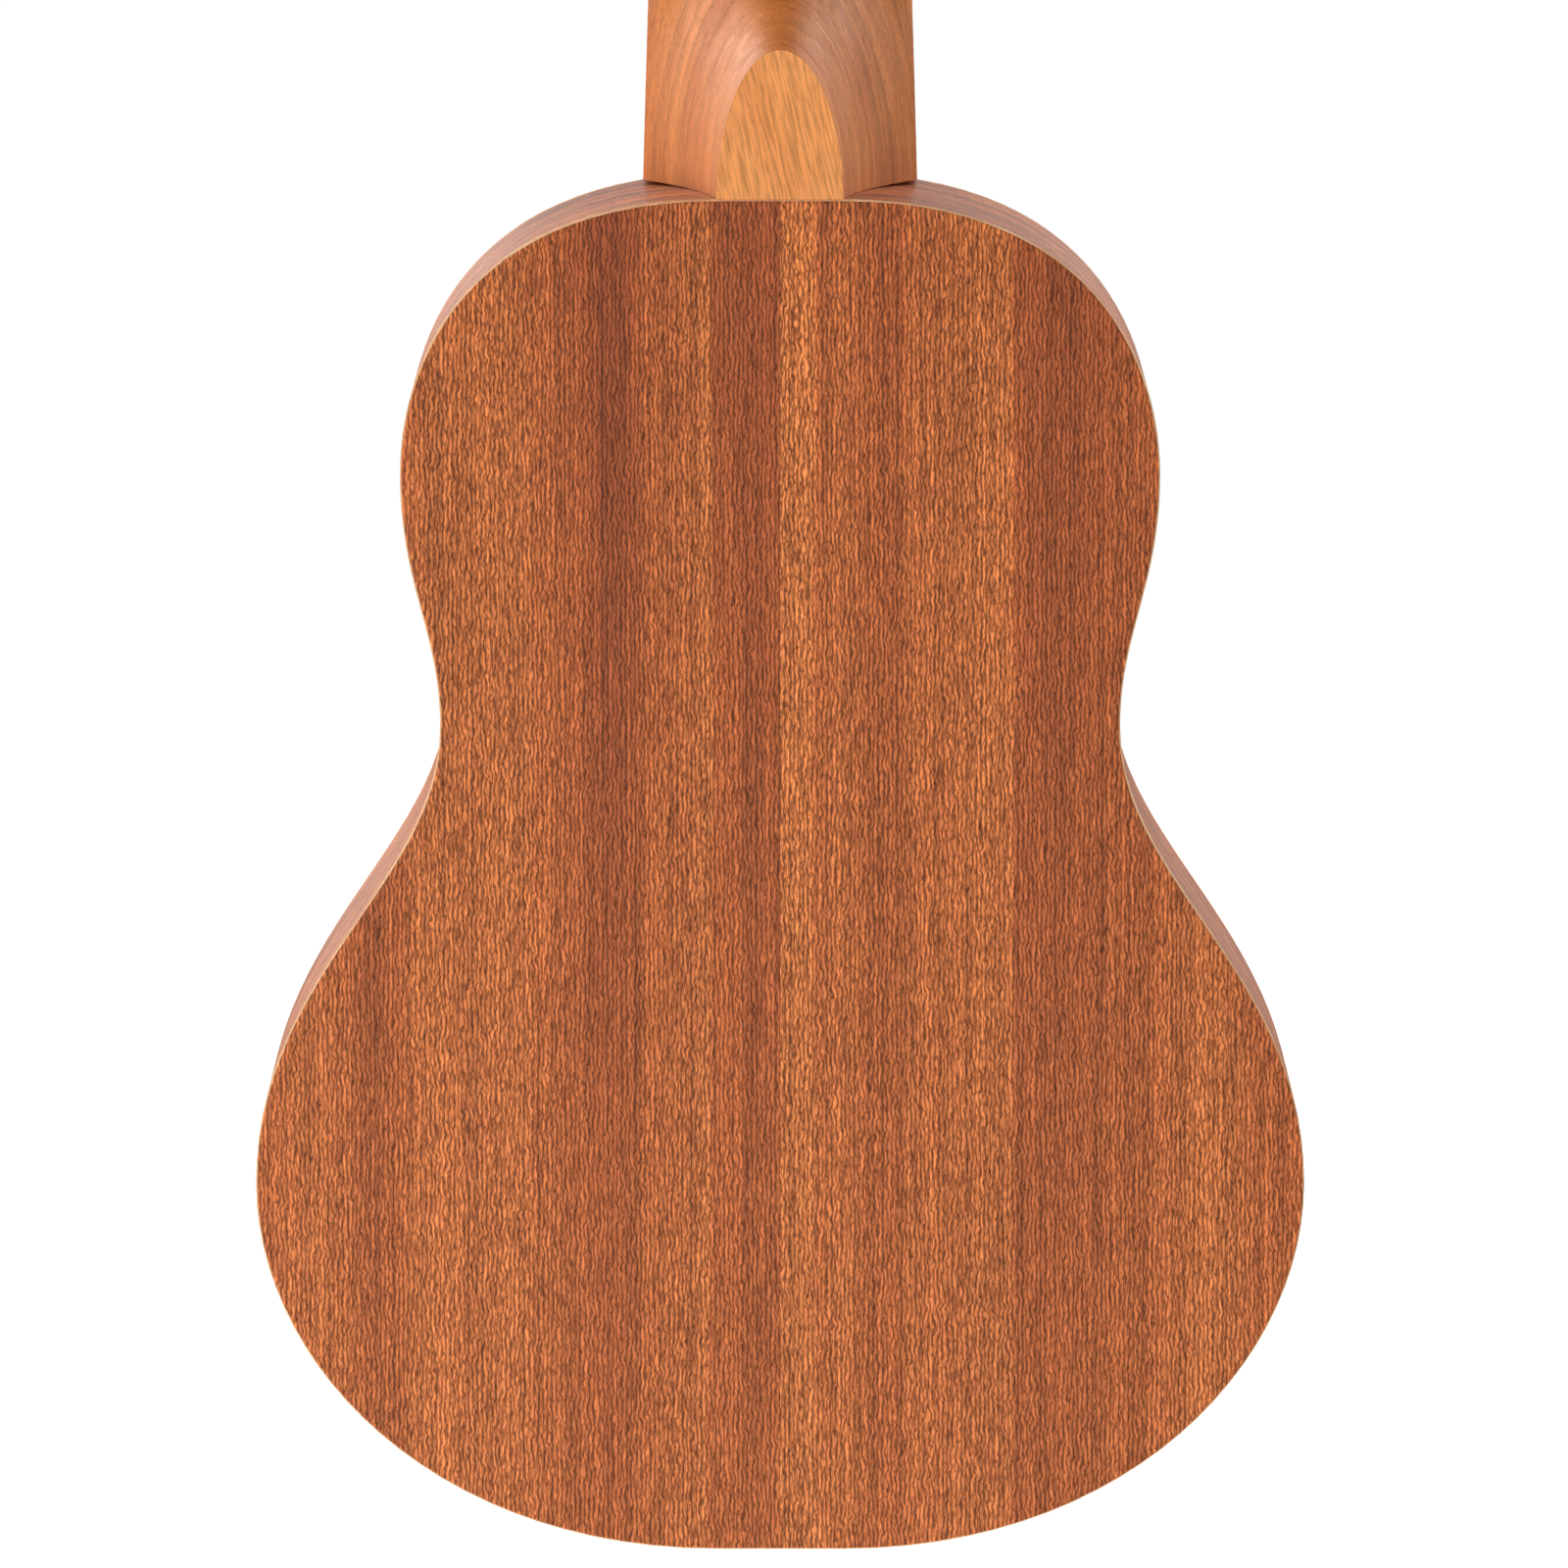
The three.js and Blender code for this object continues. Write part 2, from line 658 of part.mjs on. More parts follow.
function post() {
  const r = tuner.postRadius;
  const top = tuner.postTop;
  const shoulder = gearY + tuner.cogThick / 2 + 0.2;
  const profile = [
    [0, gearY - 1.8], [1.8, gearY - 1.8], [1.8, shoulder], [r, shoulder],
    [r, 6.2], [r - 0.5, 7], [r - 0.5, 9], [r, 9.8], [r, top - 0.6], [r - 0.6, top], [0, top],
  ];
  const hole = rod(
    new THREE.Vector3(-5, tuner.stringHole, 0),
    new THREE.Vector3(5, tuner.stringHole, 0),
    0.8, 6,
  );
  return cut(turned(profile, 12), hole);
}

function sleeve() {
  const { inner, outer, flange, flangeThick, long } = bushing;
  const face = glueGap;
  return turned([
    [inner, -long], [outer, -long], [outer, face], [flange, face],
    [flange, face + flangeThick * 0.6], [flange - 0.8, face + flangeThick],
    [inner, face + flangeThick], [inner, -long],
  ], 12);
}

// The button: a flattened oval that tapers to a collar on the shaft.
function button() {
  const long = tuner.buttonLong;
  const profile = [
    [0, 0], [2.6, 0], [2.6, 2], [4.4, 4], [5.6, 7.5], [5.4, 11], [4, 14], [0, long],
  ];
  const paddle = turned(profile, 12).scale(1, 1, 0.62);
  const bore = new THREE.CylinderGeometry(1.8, 1.8, 9, 8);
  return cut(paddle, bore)
    .rotateZ(-Math.PI / 2)
    .translate(tuner.buttonAt, gearY, tuner.axes);
}

function addTuners() {
  const headGroup = new THREE.Group();
  headGroup.position.z = nut.thick;
  headGroup.rotation.x = head.tilt;
  root.add(headGroup);
  for (const { name, side, along } of strings) {
    const group = new THREE.Group();
    group.position.set(side * tuner.x, 0, along);
    group.scale.x = side;
    headGroup.add(group);
    piece(`tuner_plate_${name}`, tunerPlate(), materials.nickel, group);
    piece(`tuner_worm_${name}`, worm(), materials.nickel, group);
    piece(`tuner_button_${name}`, button(), materials.ivoryPlastic, group);
    piece(`tuner_cog_${name}`, cog(), materials.brass, group);
    piece(`tuner_post_${name}`, post(), materials.nickel, group);
    piece(`tuner_bushing_${name}`, sleeve(), materials.nickel, group);
  }
}

addPlates();
addRibs();
addBlocks();
addLinings();
addBraces();
addNeck();
addFretboard();
addNut();
addBridge();
addStrings();
addTuners();

export default root;
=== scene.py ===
import bpy
import bmesh
import math
from mathutils import Matrix, Vector
from mathutils.geometry import interpolate_bezier


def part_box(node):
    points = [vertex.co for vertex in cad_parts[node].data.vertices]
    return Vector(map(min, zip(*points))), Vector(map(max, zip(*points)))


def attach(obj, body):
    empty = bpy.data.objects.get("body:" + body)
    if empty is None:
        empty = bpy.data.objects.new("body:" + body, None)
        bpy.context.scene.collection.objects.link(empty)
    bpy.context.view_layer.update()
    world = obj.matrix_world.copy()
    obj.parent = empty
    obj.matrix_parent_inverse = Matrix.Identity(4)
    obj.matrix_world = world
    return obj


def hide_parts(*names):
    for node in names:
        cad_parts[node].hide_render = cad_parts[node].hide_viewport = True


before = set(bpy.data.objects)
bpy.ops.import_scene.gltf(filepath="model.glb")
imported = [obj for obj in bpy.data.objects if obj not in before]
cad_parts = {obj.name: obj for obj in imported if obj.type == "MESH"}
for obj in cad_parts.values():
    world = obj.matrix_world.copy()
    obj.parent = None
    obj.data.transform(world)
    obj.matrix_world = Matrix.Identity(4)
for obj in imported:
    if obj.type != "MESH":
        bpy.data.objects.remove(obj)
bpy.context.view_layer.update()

# Lengths below are in millimetres, in the part's own frame: +Z up the neck, +Y out of
# the soundboard, the nut at the origin. MM turns them into Blender's metres.
MM = 0.001
INSTRUMENT = "instrument"


def corner_mm(node, high):
    low_corner, high_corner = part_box(node)
    return (high_corner if high else low_corner) / MM


BODY_TOP = corner_mm("back_plate", True).z
BODY_BOTTOM = corner_mm("back_plate", False).z
BACK_FACE = corner_mm("back_plate", False).y
BACK_INSIDE = corner_mm("back_plate", True).y
TOP_INSIDE = corner_mm("soundboard", False).y
LOWER_BOUT = corner_mm("back_plate", True).x
RIB_THICK = 1.8
MIDDLE_OF_BODY = Vector((0, BACK_FACE / 2, -300))
HOLE_Z = -247
HOLE_RADIUS = 25

# Each stretch of the body outline: (half width, drop below the neck end) for its two
# ends and the two handles between them.
STRETCHES = (
    ((10.5, 0), (52.3, 0), (63.8, 26.9), (63.8, 46.4)),
    ((63.8, 46.4), (63.8, 65.0), (57.2, 73.1), (57.2, 88.6)),
    ((57.2, 88.6), (57.2, 115.4), (LOWER_BOUT, 130.2), (LOWER_BOUT, 166.6)),
    ((LOWER_BOUT, 166.6), (LOWER_BOUT, 197.2), (58.8, 229), (10.8, 229)),
)

TILT = math.radians(12)
NUT_THICK = 5
HEAD_THICK = 12.5
HEAD = Matrix.Translation((0, 0, NUT_THICK)) @ Matrix.Rotation(TILT, 4, "X")
POST_X = 17
SCALE_LENGTH = 345
FRET_COUNT = 12

# String, side of the head, its tuner's height on the head, x at the nut, x at the
# saddle, and radius.
STRINGS = (
    ("g", 1, 36, 14.0, 20.5, 0.31),
    ("c", 1, 78, 4.7, 6.8, 0.43),
    ("e", -1, 78, -4.7, -6.8, 0.36),
    ("a", -1, 36, -14.0, -20.5, 0.30),
)

# ---- shader helpers ---------------------------------------------------------------


def add_node(tree, kind, sockets=None, **settings):
    made = tree.nodes.new("ShaderNode" + kind)
    for key, value in settings.items():
        setattr(made, key, value)
    for key, value in (sockets or {}).items():
        if isinstance(value, bpy.types.NodeSocket):
            tree.links.new(value, made.inputs[key])
        else:
            made.inputs[key].default_value = value
    return made


def rgba(red, green, blue):
    """A colour from its 0-255 display values."""
    linear = []
    for value in (red, green, blue):
        s = value / 255
        linear.append(s / 12.92 if s <= 0.04045 else ((s + 0.055) / 1.055) ** 2.4)
    return (*linear, 1.0)


def stretched(tree, place, across, depth, along):
    """The place on the wood, stretched so that a pattern runs along the grain."""
    return add_node(
        tree, "Mapping", {"Vector": place, "Scale": (across, depth, along)}
    ).outputs["Vector"]


def noise(tree, vector, detail=2.0, roughness=0.5, distortion=0.0):
    return add_node(
        tree,
        "TexNoise",
        {
            "Vector": vector,
            "Scale": 1.0,
            "Detail": detail,
            "Roughness": roughness,
            "Distortion": distortion,
        },
    ).outputs["Fac"]


def ramp(tree, fac, *stops):
    made = add_node(tree, "ValToRGB", {"Fac": fac})
    elements = made.color_ramp.elements
    while len(elements) < len(stops):
        elements.new(0.5)
    for element, (position, colour) in zip(elements, stops):
        element.position = position
        element.color = colour
    return made.outputs["Color"]


def grey(value):
    return (value, value, value, 1.0)


def mixed(tree, first, second, factor, blend="MIX"):
    made = add_node(tree, "Mix", data_type="RGBA", blend_type=blend)
    for socket, value in (
        (made.inputs[0], factor),
        (made.inputs[6], first),
        (made.inputs[7], second),
    ):
        if isinstance(value, bpy.types.NodeSocket):
            tree.links.new(value, socket)
        else:
            socket.default_value = value
    return made.outputs[2]


def calc(tree, operation, first, second=0.0, third=0.0):
    made = add_node(tree, "Math", operation=operation)
    for socket, value in zip(made.inputs, (first, second, third)):
        if isinstance(value, bpy.types.NodeSocket):
            tree.links.new(value, socket)
        else:
            socket.default_value = value
    return made.outputs[0]


def start_material(name, **sockets):
    material = bpy.data.materials.new(name)
    material.use_nodes = True
    tree = material.node_tree
    shader = tree.nodes["Principled BSDF"]
    for key, value in sockets.items():
        shader.inputs[key.replace("_", " ")].default_value = value
    return material, tree, shader


def object_place(tree):
    return add_node(tree, "TexCoord").outputs["Object"]


# ---- woods ------------------------------------------------------------------------

# The ribbons of the two boards of the back: (distance from the seam, lightness). Two
# distances close together make a ribbon's sharp edge.
LEFT_RIBBONS = (
    (0, 0.08), (5, 0.12), (11.6, 0.3), (12.1, 0.98), (13.2, 0.86), (15, 0.66), (19, 0.6),
    (24, 0.5), (24.8, 0.2), (29, 0.0), (32, 0.08), (33, 0.26), (38, 0.48), (42, 0.56),
    (43, 0.74), (50, 0.86), (57, 0.8), (62, 0.6), (63, 0.34), (68, 0.26), (74, 0.5), (81, 0.66),
    (90, 0.5),
)
RIGHT_RIBBONS = (
    (0, 1.0), (5, 0.94), (6, 0.46), (10, 0.6), (14, 0.46), (20, 0.4), (21.5, 0.6), (28, 0.66),
    (34, 0.84), (38.6, 0.8), (39.4, 0.26), (46, 0.1), (52, 0.16), (56, 0.4), (62, 0.5),
    (66, 0.7), (74, 0.76), (80, 0.5), (90, 0.3),
)
HALF_BACK = 90  # the last distance in both tables
MEAN_BAND, BAND_FADE = 0.56, 0.62  # what the ribbons fade to, and how far, at the tail
BAND_DRIFT = 0.06  # sideways wander of a ribbon, as a part of HALF_BACK


def ribbon_ramp(tree, from_seam, ribbons):
    stops = [(distance / HALF_BACK, grey(light)) for distance, light in ribbons]
    return ramp(tree, from_seam, *stops)


def book_bands(tree, place, right_half, down):
    """Lightness of the back's ribbons, which drift and fade as they run down the boards."""
    parts = add_node(tree, "SeparateXYZ", {"Vector": place})
    drift = noise(tree, stretched(tree, place, 20, 1, 6), 2, 0.5)
    from_seam = calc(tree, "ABSOLUTE", parts.outputs["X"])
    wander = calc(tree, "MULTIPLY", calc(tree, "SUBTRACT", drift, 0.5), BAND_DRIFT)
    from_seam = calc(tree, "MULTIPLY_ADD", from_seam, 1 / (HALF_BACK * MM), wander)
    bands = mixed(
        tree,
        ribbon_ramp(tree, from_seam, LEFT_RIBBONS),
        ribbon_ramp(tree, from_seam, RIGHT_RIBBONS),
        right_half,
    )
    return mixed(tree, bands, grey(MEAN_BAND), calc(tree, "MULTIPLY", down, BAND_FADE))


def fibre_rows(tree, log):
    """Evenly spaced rows of fibre, which waver as they run along the grain."""
    rows = add_node(
        tree,
        "TexWave",
        {
            "Vector": stretched(tree, log, 1000, 300, 900),
            "Scale": 0.4,
            "Distortion": 7.0,
            "Detail": 2.0,
            "Detail Scale": 1.4,
        },
        bands_direction="X",
    ).outputs["Fac"]
    return ramp(
        tree, rows, (0.0, rgba(124, 104, 92)), (0.35, grey(0.86)), (0.8, (1.3, 1.36, 1.4, 1))
    )


RIGHT_BOARD_SHIFT = 0.311  # metres, so that the two halves don't mirror each other
LOG_DEPTH = 0.03  # metres, keeps flat faces off the planes where a noise is always mid-grey
OWN_FIGURE = 0.14  # how much of the log's own bands shows through the book-matched ones
# Painted light: how much paler and greyer the tail of the back is painted, standing in for light
# bounced up from the floor and a sheen.
PAINTED_TAIL_LIGHT = (1.2, 1.32, 1.5, 1)
CRINKLE_LINES = (
    (0.0, rgba(112, 92, 80)),
    (0.05, rgba(214, 208, 200)),
    (0.1, (1.26, 1.3, 1.32, 1)),
    (0.22, (1.5, 1.6, 1.62, 1)),
)


def sapele(name, follows_rib=False, rosette=False, book=False, tint=None, varnish=0.0):
    """Ribbon-figured sapele: broad bands, fine stripes and crinkled dark pore lines."""
    material, tree, shader = start_material(
        name, Specular_IOR_Level=0.2, Coat_Weight=varnish, Coat_Roughness=0.22
    )
    if follows_rib:
        along_rib = add_node(tree, "UVMap", uv_map="grain").outputs["UV"]
        parts = add_node(tree, "SeparateXYZ", {"Vector": along_rib})
        place = add_node(
            tree, "CombineXYZ", {"X": parts.outputs["Y"], "Z": parts.outputs["X"]}
        ).outputs["Vector"]
    else:
        place = object_place(tree)

    # Two boards meet at the centre seam, so each half is moved to its own part of the log.
    parts = add_node(tree, "SeparateXYZ", {"Vector": place})
    right_half = calc(tree, "GREATER_THAN", parts.outputs["X"], 0.0)
    log = add_node(
        tree,
        "CombineXYZ",
        {
            "X": calc(tree, "MULTIPLY_ADD", right_half, RIGHT_BOARD_SHIFT, parts.outputs["X"]),
            "Y": calc(tree, "ADD", parts.outputs["Y"], LOG_DEPTH),
            "Z": parts.outputs["Z"],
        },
    ).outputs["Vector"]

    own_bands = noise(tree, stretched(tree, log, 62, 8, 1.3), 3, 0.55, 0.15)
    bands = ramp(tree, own_bands, (0.3, grey(0)), (0.7, grey(1)))
    if book:
        length = (BODY_TOP - BODY_BOTTOM) * MM
        down = calc(
            tree, "MULTIPLY_ADD", parts.outputs["Z"], -1 / length, BODY_TOP * MM / length
        )
        bands = mixed(tree, book_bands(tree, place, right_half, down), bands, OWN_FIGURE)
    base = ramp(
        tree,
        bands,
        (0.0, rgba(144, 70, 36)),
        (0.5, rgba(173, 90, 46)),
        (1.0, rgba(208, 119, 62)),
    )
    # Painted light: towards the tail the back's colour is painted paler and greyer, as light from
    # below and a sheen would make it look.
    if book:
        painted_tail_light = mixed(tree, base, PAINTED_TAIL_LIGHT, 1.0, "MULTIPLY")
        base = mixed(tree, base, painted_tail_light, down)
    stripes = noise(tree, stretched(tree, log, 1100, 60, 8), 3, 0.75, 0.1)
    base = mixed(
        tree, base, ramp(tree, stripes, (0.3, grey(0.6)), (0.7, grey(1.38))), 0.8, "MULTIPLY"
    )
    pores = noise(tree, stretched(tree, log, 2000, 911, 230), 3, 0.7, 0.3)
    base = mixed(
        tree,
        base,
        ramp(tree, pores, (0.36, grey(0.42)), (0.5, grey(1.0)), (0.64, grey(1.3))),
        0.5,
        "MULTIPLY",
    )
    # The crinkle is where a noise crosses its middle, which makes thin wandering lines.
    crinkle = noise(tree, stretched(tree, log, 2300, 678, 400), 1, 0.5, 0.3)
    from_line = calc(tree, "ABSOLUTE", calc(tree, "SUBTRACT", crinkle, 0.5))
    lines = ramp(tree, from_line, *CRINKLE_LINES)
    depth = ramp(tree, bands, (0.0, grey(0.3)), (0.9, grey(0.72)))
    base = mixed(tree, base, lines, depth, "MULTIPLY")
    base = mixed(tree, base, fibre_rows(tree, log), 0.7, "MULTIPLY")
    if follows_rib:
        # Wide dark streaks, which still show where a rib is seen almost edge on.
        streaks = noise(tree, stretched(tree, log, 210, 500, 24), 4, 0.8, 0.2)
        streaks = ramp(tree, streaks, (0.39, grey(0.38)), (0.5, grey(1.0)), (0.61, grey(1.35)))
        base = mixed(tree, base, streaks, 0.85, "MULTIPLY")
    if tint:
        base = mixed(tree, base, (*tint, 1), 1.0, "MULTIPLY")
    if rosette:
        base = ringed(tree, base)
    tree.links.new(base, shader.inputs["Base Color"])
    rough = ramp(tree, pores, (0.3, grey(0.66)), (0.7, grey(0.5)))
    tree.links.new(rough, shader.inputs["Roughness"])
    bump = add_node(
        tree, "Bump", {"Height": pores, "Strength": 0.35, "Distance": 0.00012}
    )
    tree.links.new(bump.outputs["Normal"], shader.inputs["Normal"])
    return material


DARK_INLAY, PALE_INLAY = rgba(38, 24, 17), rgba(226, 205, 160)
# Each ring of the rosette: (middle radius, half its width, colour), later ones on top.
ROSETTE = ((30.5, 1.9, DARK_INLAY), (30.5, 1.0, PALE_INLAY), (34.4, 0.4, DARK_INLAY))


def ringed(tree, base):
    """A pale ring between dark lines round the sound hole, and a thin dark line outside."""
    parts = add_node(tree, "SeparateXYZ", {"Vector": object_place(tree)})
    off_x = calc(tree, "MULTIPLY", parts.outputs["X"], 1 / MM)
    off_z = calc(tree, "MULTIPLY_ADD", parts.outputs["Z"], 1 / MM, -HOLE_Z)
    squares = calc(tree, "ADD", calc(tree, "POWER", off_x, 2), calc(tree, "POWER", off_z, 2))
    radius = calc(tree, "SQRT", squares)
    for middle, half, colour in ROSETTE:
        away = calc(tree, "ABSOLUTE", calc(tree, "SUBTRACT", radius, middle))
        inside = calc(tree, "LESS_THAN", away, half)
        base = mixed(tree, base, colour, inside)
    return base


def ring_lines(tree, place):
    """Growth layers, stacked front to back, that the carving of the heel cuts across."""
    layers = noise(tree, stretched(tree, place, 22, 520, 7), 3, 0.65, 0.2)
    tone = ramp(tree, layers, (0.34, grey(0.68)), (0.5, grey(1.0)), (0.66, grey(1.16)))
    parts = add_node(tree, "SeparateXYZ", {"Vector": place})
    near_heel = calc(tree, "MULTIPLY_ADD", parts.outputs["Z"], -20, -2)
    return tone, calc(tree, "MINIMUM", near_heel, 0.75)


def plain_wood(name, dark, light, fine=420, slant=0.0, rough=0.5, pore_depth=0.25,
               pore_scale=(3300, 330), heel_rings=False):
    """A straight-grained wood, its grain along Z, turned by `slant` about Y."""
    material, tree, shader = start_material(name, Specular_IOR_Level=0.1)
    place = add_node(
        tree, "Mapping", {"Vector": object_place(tree), "Rotation": (0, slant, 0)}
    ).outputs["Vector"]
    clouds = noise(tree, stretched(tree, place, 55, 55, 9), 3, 0.55, 0.5)
    base = ramp(tree, clouds, (0.3, dark), (0.7, light))
    streaks = noise(tree, stretched(tree, place, fine, fine, 14), 3, 0.6, 0.4)
    base = mixed(
        tree, base, ramp(tree, streaks, (0.3, grey(0.78)), (0.7, grey(1.12))), 0.7, "MULTIPLY"
    )
    across, along = pore_scale
    pores = noise(tree, stretched(tree, place, across, across, along), 2, 0.6, 0.6)
    base = mixed(
        tree,
        base,
        ramp(tree, pores, (0.38, grey(1 - pore_depth * 2)), (0.56, grey(1.06))),
        0.8,
        "MULTIPLY",
    )
    if heel_rings:
        base = mixed(tree, base, *ring_lines(tree, place), "MULTIPLY")
    tree.links.new(base, shader.inputs["Base Color"])
    tree.links.new(
        ramp(tree, streaks, (0.3, grey(rough + 0.08)), (0.7, grey(rough - 0.05))),
        shader.inputs["Roughness"],
    )
    bump = add_node(
        tree, "Bump", {"Height": pores, "Strength": 0.2, "Distance": 0.00008}
    )
    tree.links.new(bump.outputs["Normal"], shader.inputs["Normal"])
    return material


# ---- other finishes -----------------------------------------------------------------


def metal(name, colour, rough, smudge=0.1, brushed=0.0):
    material, tree, shader = start_material(name, Metallic=1.0, Base_Color=colour)
    place = object_place(tree)
    cloud = noise(tree, stretched(tree, place, 160, 160, 160), 3, 0.6)
    low, high = grey(max(0.05, rough - smudge)), grey(rough + smudge)
    tree.links.new(ramp(tree, cloud, (0.3, low), (0.7, high)), shader.inputs["Roughness"])
    tint = ramp(tree, cloud, (0.25, grey(0.86)), (0.75, grey(1.0)))
    tree.links.new(mixed(tree, colour, tint, 1.0, "MULTIPLY"), shader.inputs["Base Color"])
    if brushed:
        lines = noise(tree, stretched(tree, place, 300, 9000, 9000), 2, 0.6)
        bump = add_node(tree, "Bump", {"Height": lines, "Strength": brushed, "Distance": 2e-5})
        tree.links.new(bump.outputs["Normal"], shader.inputs["Normal"])
    return material


def moulded(name, dark, light, rough, **sockets):
    """Resin, bone or plastic with soft streaks of colour."""
    material, tree, shader = start_material(name, **sockets)
    place = object_place(tree)
    cloud = noise(tree, stretched(tree, place, 90, 90, 60), 4, 0.6, 1.0)
    tree.links.new(ramp(tree, cloud, (0.3, dark), (0.7, light)), shader.inputs["Base Color"])
    specks = noise(tree, stretched(tree, place, 1500, 1500, 1500), 2, 0.5)
    low, high = grey(rough - 0.05), grey(rough + 0.08)
    tree.links.new(ramp(tree, specks, (0.3, low), (0.7, high)), shader.inputs["Roughness"])
    return material


BACK_WOOD = sapele("sapele_back", book=True)
TOP_WOOD = sapele("sapele_top", rosette=True)
# The ribs' tint paints them paler and greyer: a painted sheen, standing in for the white room
# reflected at a grazing angle.
RIB_WOOD = sapele("sapele_rib", follows_rib=True, tint=(1.3, 1.46, 1.15), varnish=0.11)
# Pale wood for the plates' cut edges, which also serves as a painted highlight along the rounding
# beside them.
PALE_EDGE_AND_HIGHLIGHT = plain_wood("plate_edge_and_highlight", rgba(222, 160, 112), rgba(250, 206, 160), pore_depth=0.1)
NECK_WOOD = plain_wood(
    "okoume_neck", rgba(196, 108, 50), rgba(226, 141, 74), pore_depth=0.14, heel_rings=True
)
CAP_WOOD = plain_wood(
    "heel_cap_wood", rgba(222, 134, 72), rgba(246, 168, 100), fine=1300, slant=0.22, pore_depth=0.19,
    pore_scale=(2300, 150),
)
DARK_WOOD = plain_wood("walnut", rgba(52, 32, 22), rgba(98, 64, 42), rough=0.45)
SPRUCE = plain_wood("raw_spruce", rgba(206, 172, 118), rgba(232, 204, 156), rough=0.7)
BONE = moulded("bone", rgba(226, 216, 192), rgba(240, 232, 214), 0.32, Subsurface_Weight=0.1)
NICKEL = metal("nickel_plate", rgba(208, 206, 202), 0.2)
FRET_METAL = metal("nickel_silver", rgba(214, 210, 200), 0.24, 0.06, brushed=0.1)
BRASS = metal("cog_brass", rgba(196, 158, 88), 0.32, brushed=0.2)
BUTTON = moulded("ivory_button", rgba(232, 222, 198), rgba(246, 240, 224), 0.22, Coat_Weight=0.3)
NYLON = moulded(
    "clear_nylon", rgba(222, 216, 204), rgba(240, 237, 230), 0.2, Transmission_Weight=0.25
)
PEARL = moulded("pearl_dot", rgba(206, 208, 204), rgba(246, 244, 238), 0.2, Coat_Weight=0.5)

# ---- making pieces ------------------------------------------------------------------


def finished(bm, name, material, body, nodes=(), sharp=35, edge=None):
    """Turns a bmesh in millimetres into a piece that rides on a body."""
    bmesh.ops.scale(bm, vec=(MM, MM, MM), verts=bm.verts)
    mesh = bpy.data.meshes.new(name)
    bm.to_mesh(mesh)
    bm.free()
    mesh.shade_smooth()
    mesh.set_sharp_from_angle(angle=math.radians(sharp))
    mesh.materials.append(material)
    if edge:
        mesh.materials.append(edge)
    piece = bpy.data.objects.new(name, mesh)
    bpy.context.scene.collection.objects.link(piece)
    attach(piece, body)
    if nodes:
        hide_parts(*nodes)
    return piece


NEAR = 1e-4  # millimetres; points closer than this are one point


def on_level(vert, y):
    return abs(vert.co.y - y) < NEAR


def loop_edges(bm, points):
    verts = [bm.verts.new(p) for p in points]
    return [bm.edges.new((a, b)) for a, b in zip(verts, verts[1:] + verts[:1])]


def board(outline, y_front, y_back, rounding, holes=(), segments=3, square_below=None):
    """A flat board cut to an outline of (x, z) points, its edges rounded but for a square end."""
    bm = bmesh.new()
    edges = loop_edges(bm, [(x, y_back, z) for x, z in outline])
    for hole in holes:
        edges += loop_edges(bm, [(x, y_back, z) for x, z in hole])
    if holes:
        bmesh.ops.triangle_fill(bm, use_beauty=True, edges=edges)
    else:
        bmesh.ops.contextual_create(bm, geom=edges)
    bottom = list(bm.faces)
    raised = bmesh.ops.extrude_face_region(bm, geom=bottom, use_keep_orig=True)["geom"]
    lifted = [v for v in raised if isinstance(v, bmesh.types.BMVert)]
    bmesh.ops.translate(bm, vec=(0, y_front - y_back, 0), verts=lifted)
    bmesh.ops.recalc_face_normals(bm, faces=bm.faces)
    if rounding:
        rims = []
        for e in bm.edges:
            on_rim = any(all(on_level(v, y) for v in e.verts) for y in (y_front, y_back))
            at_end = square_below and all(v.co.z < square_below + NEAR for v in e.verts)
            if on_rim and not at_end and e.calc_face_angle() > 1:
                rims.append(e)
        bmesh.ops.bevel(
            bm, geom=rims, offset=rounding, segments=segments, profile=0.5,
            affect="EDGES", material=-1, clamp_overlap=True,
        )
        # A strip round each flat face keeps its shading level. A square end does without.
        inset_levels = () if square_below else (y_front, y_back)
        for y in inset_levels:
            flat = [f for f in bm.faces if all(on_level(v, y) for v in f.verts)]
            bmesh.ops.inset_region(bm, faces=flat, thickness=0.15)
    return bm


def turned(profile, steps=32):
    """A solid of revolution about Y, from (radius, y) points."""
    bm = bmesh.new()
    verts = [bm.verts.new((r, y, 0)) for r, y in profile]
    edges = [bm.edges.new(pair) for pair in zip(verts, verts[1:])]
    bmesh.ops.spin(
        bm, geom=verts + edges, cent=(0, 0, 0), axis=(0, 1, 0), angle=2 * math.pi,
        steps=steps, use_merge=True,
    )
    bmesh.ops.remove_doubles(bm, verts=bm.verts, dist=NEAR)
    bmesh.ops.recalc_face_normals(bm, faces=bm.faces)
    return bm


def wrapped_grid(rings):
    """A closed tube through rings of points; every ring has the same number of points."""
    around, along = len(rings[0]), len(rings)
    bm = bmesh.new()
    bmesh.ops.create_grid(bm, x_segments=around, y_segments=along - 1, size=1)
    for v in bm.verts:
        k = round((v.co.x + 1) / 2 * around)
        level = round((v.co.y + 1) / 2 * (along - 1))
        v.co = rings[level][k % around]
    bmesh.ops.remove_doubles(bm, verts=bm.verts, dist=NEAR)
    ends = [e for e in bm.edges if len(e.link_faces) == 1]
    bmesh.ops.holes_fill(bm, edges=ends, sides=0)
    bmesh.ops.recalc_face_normals(bm, faces=bm.faces)
    return bm


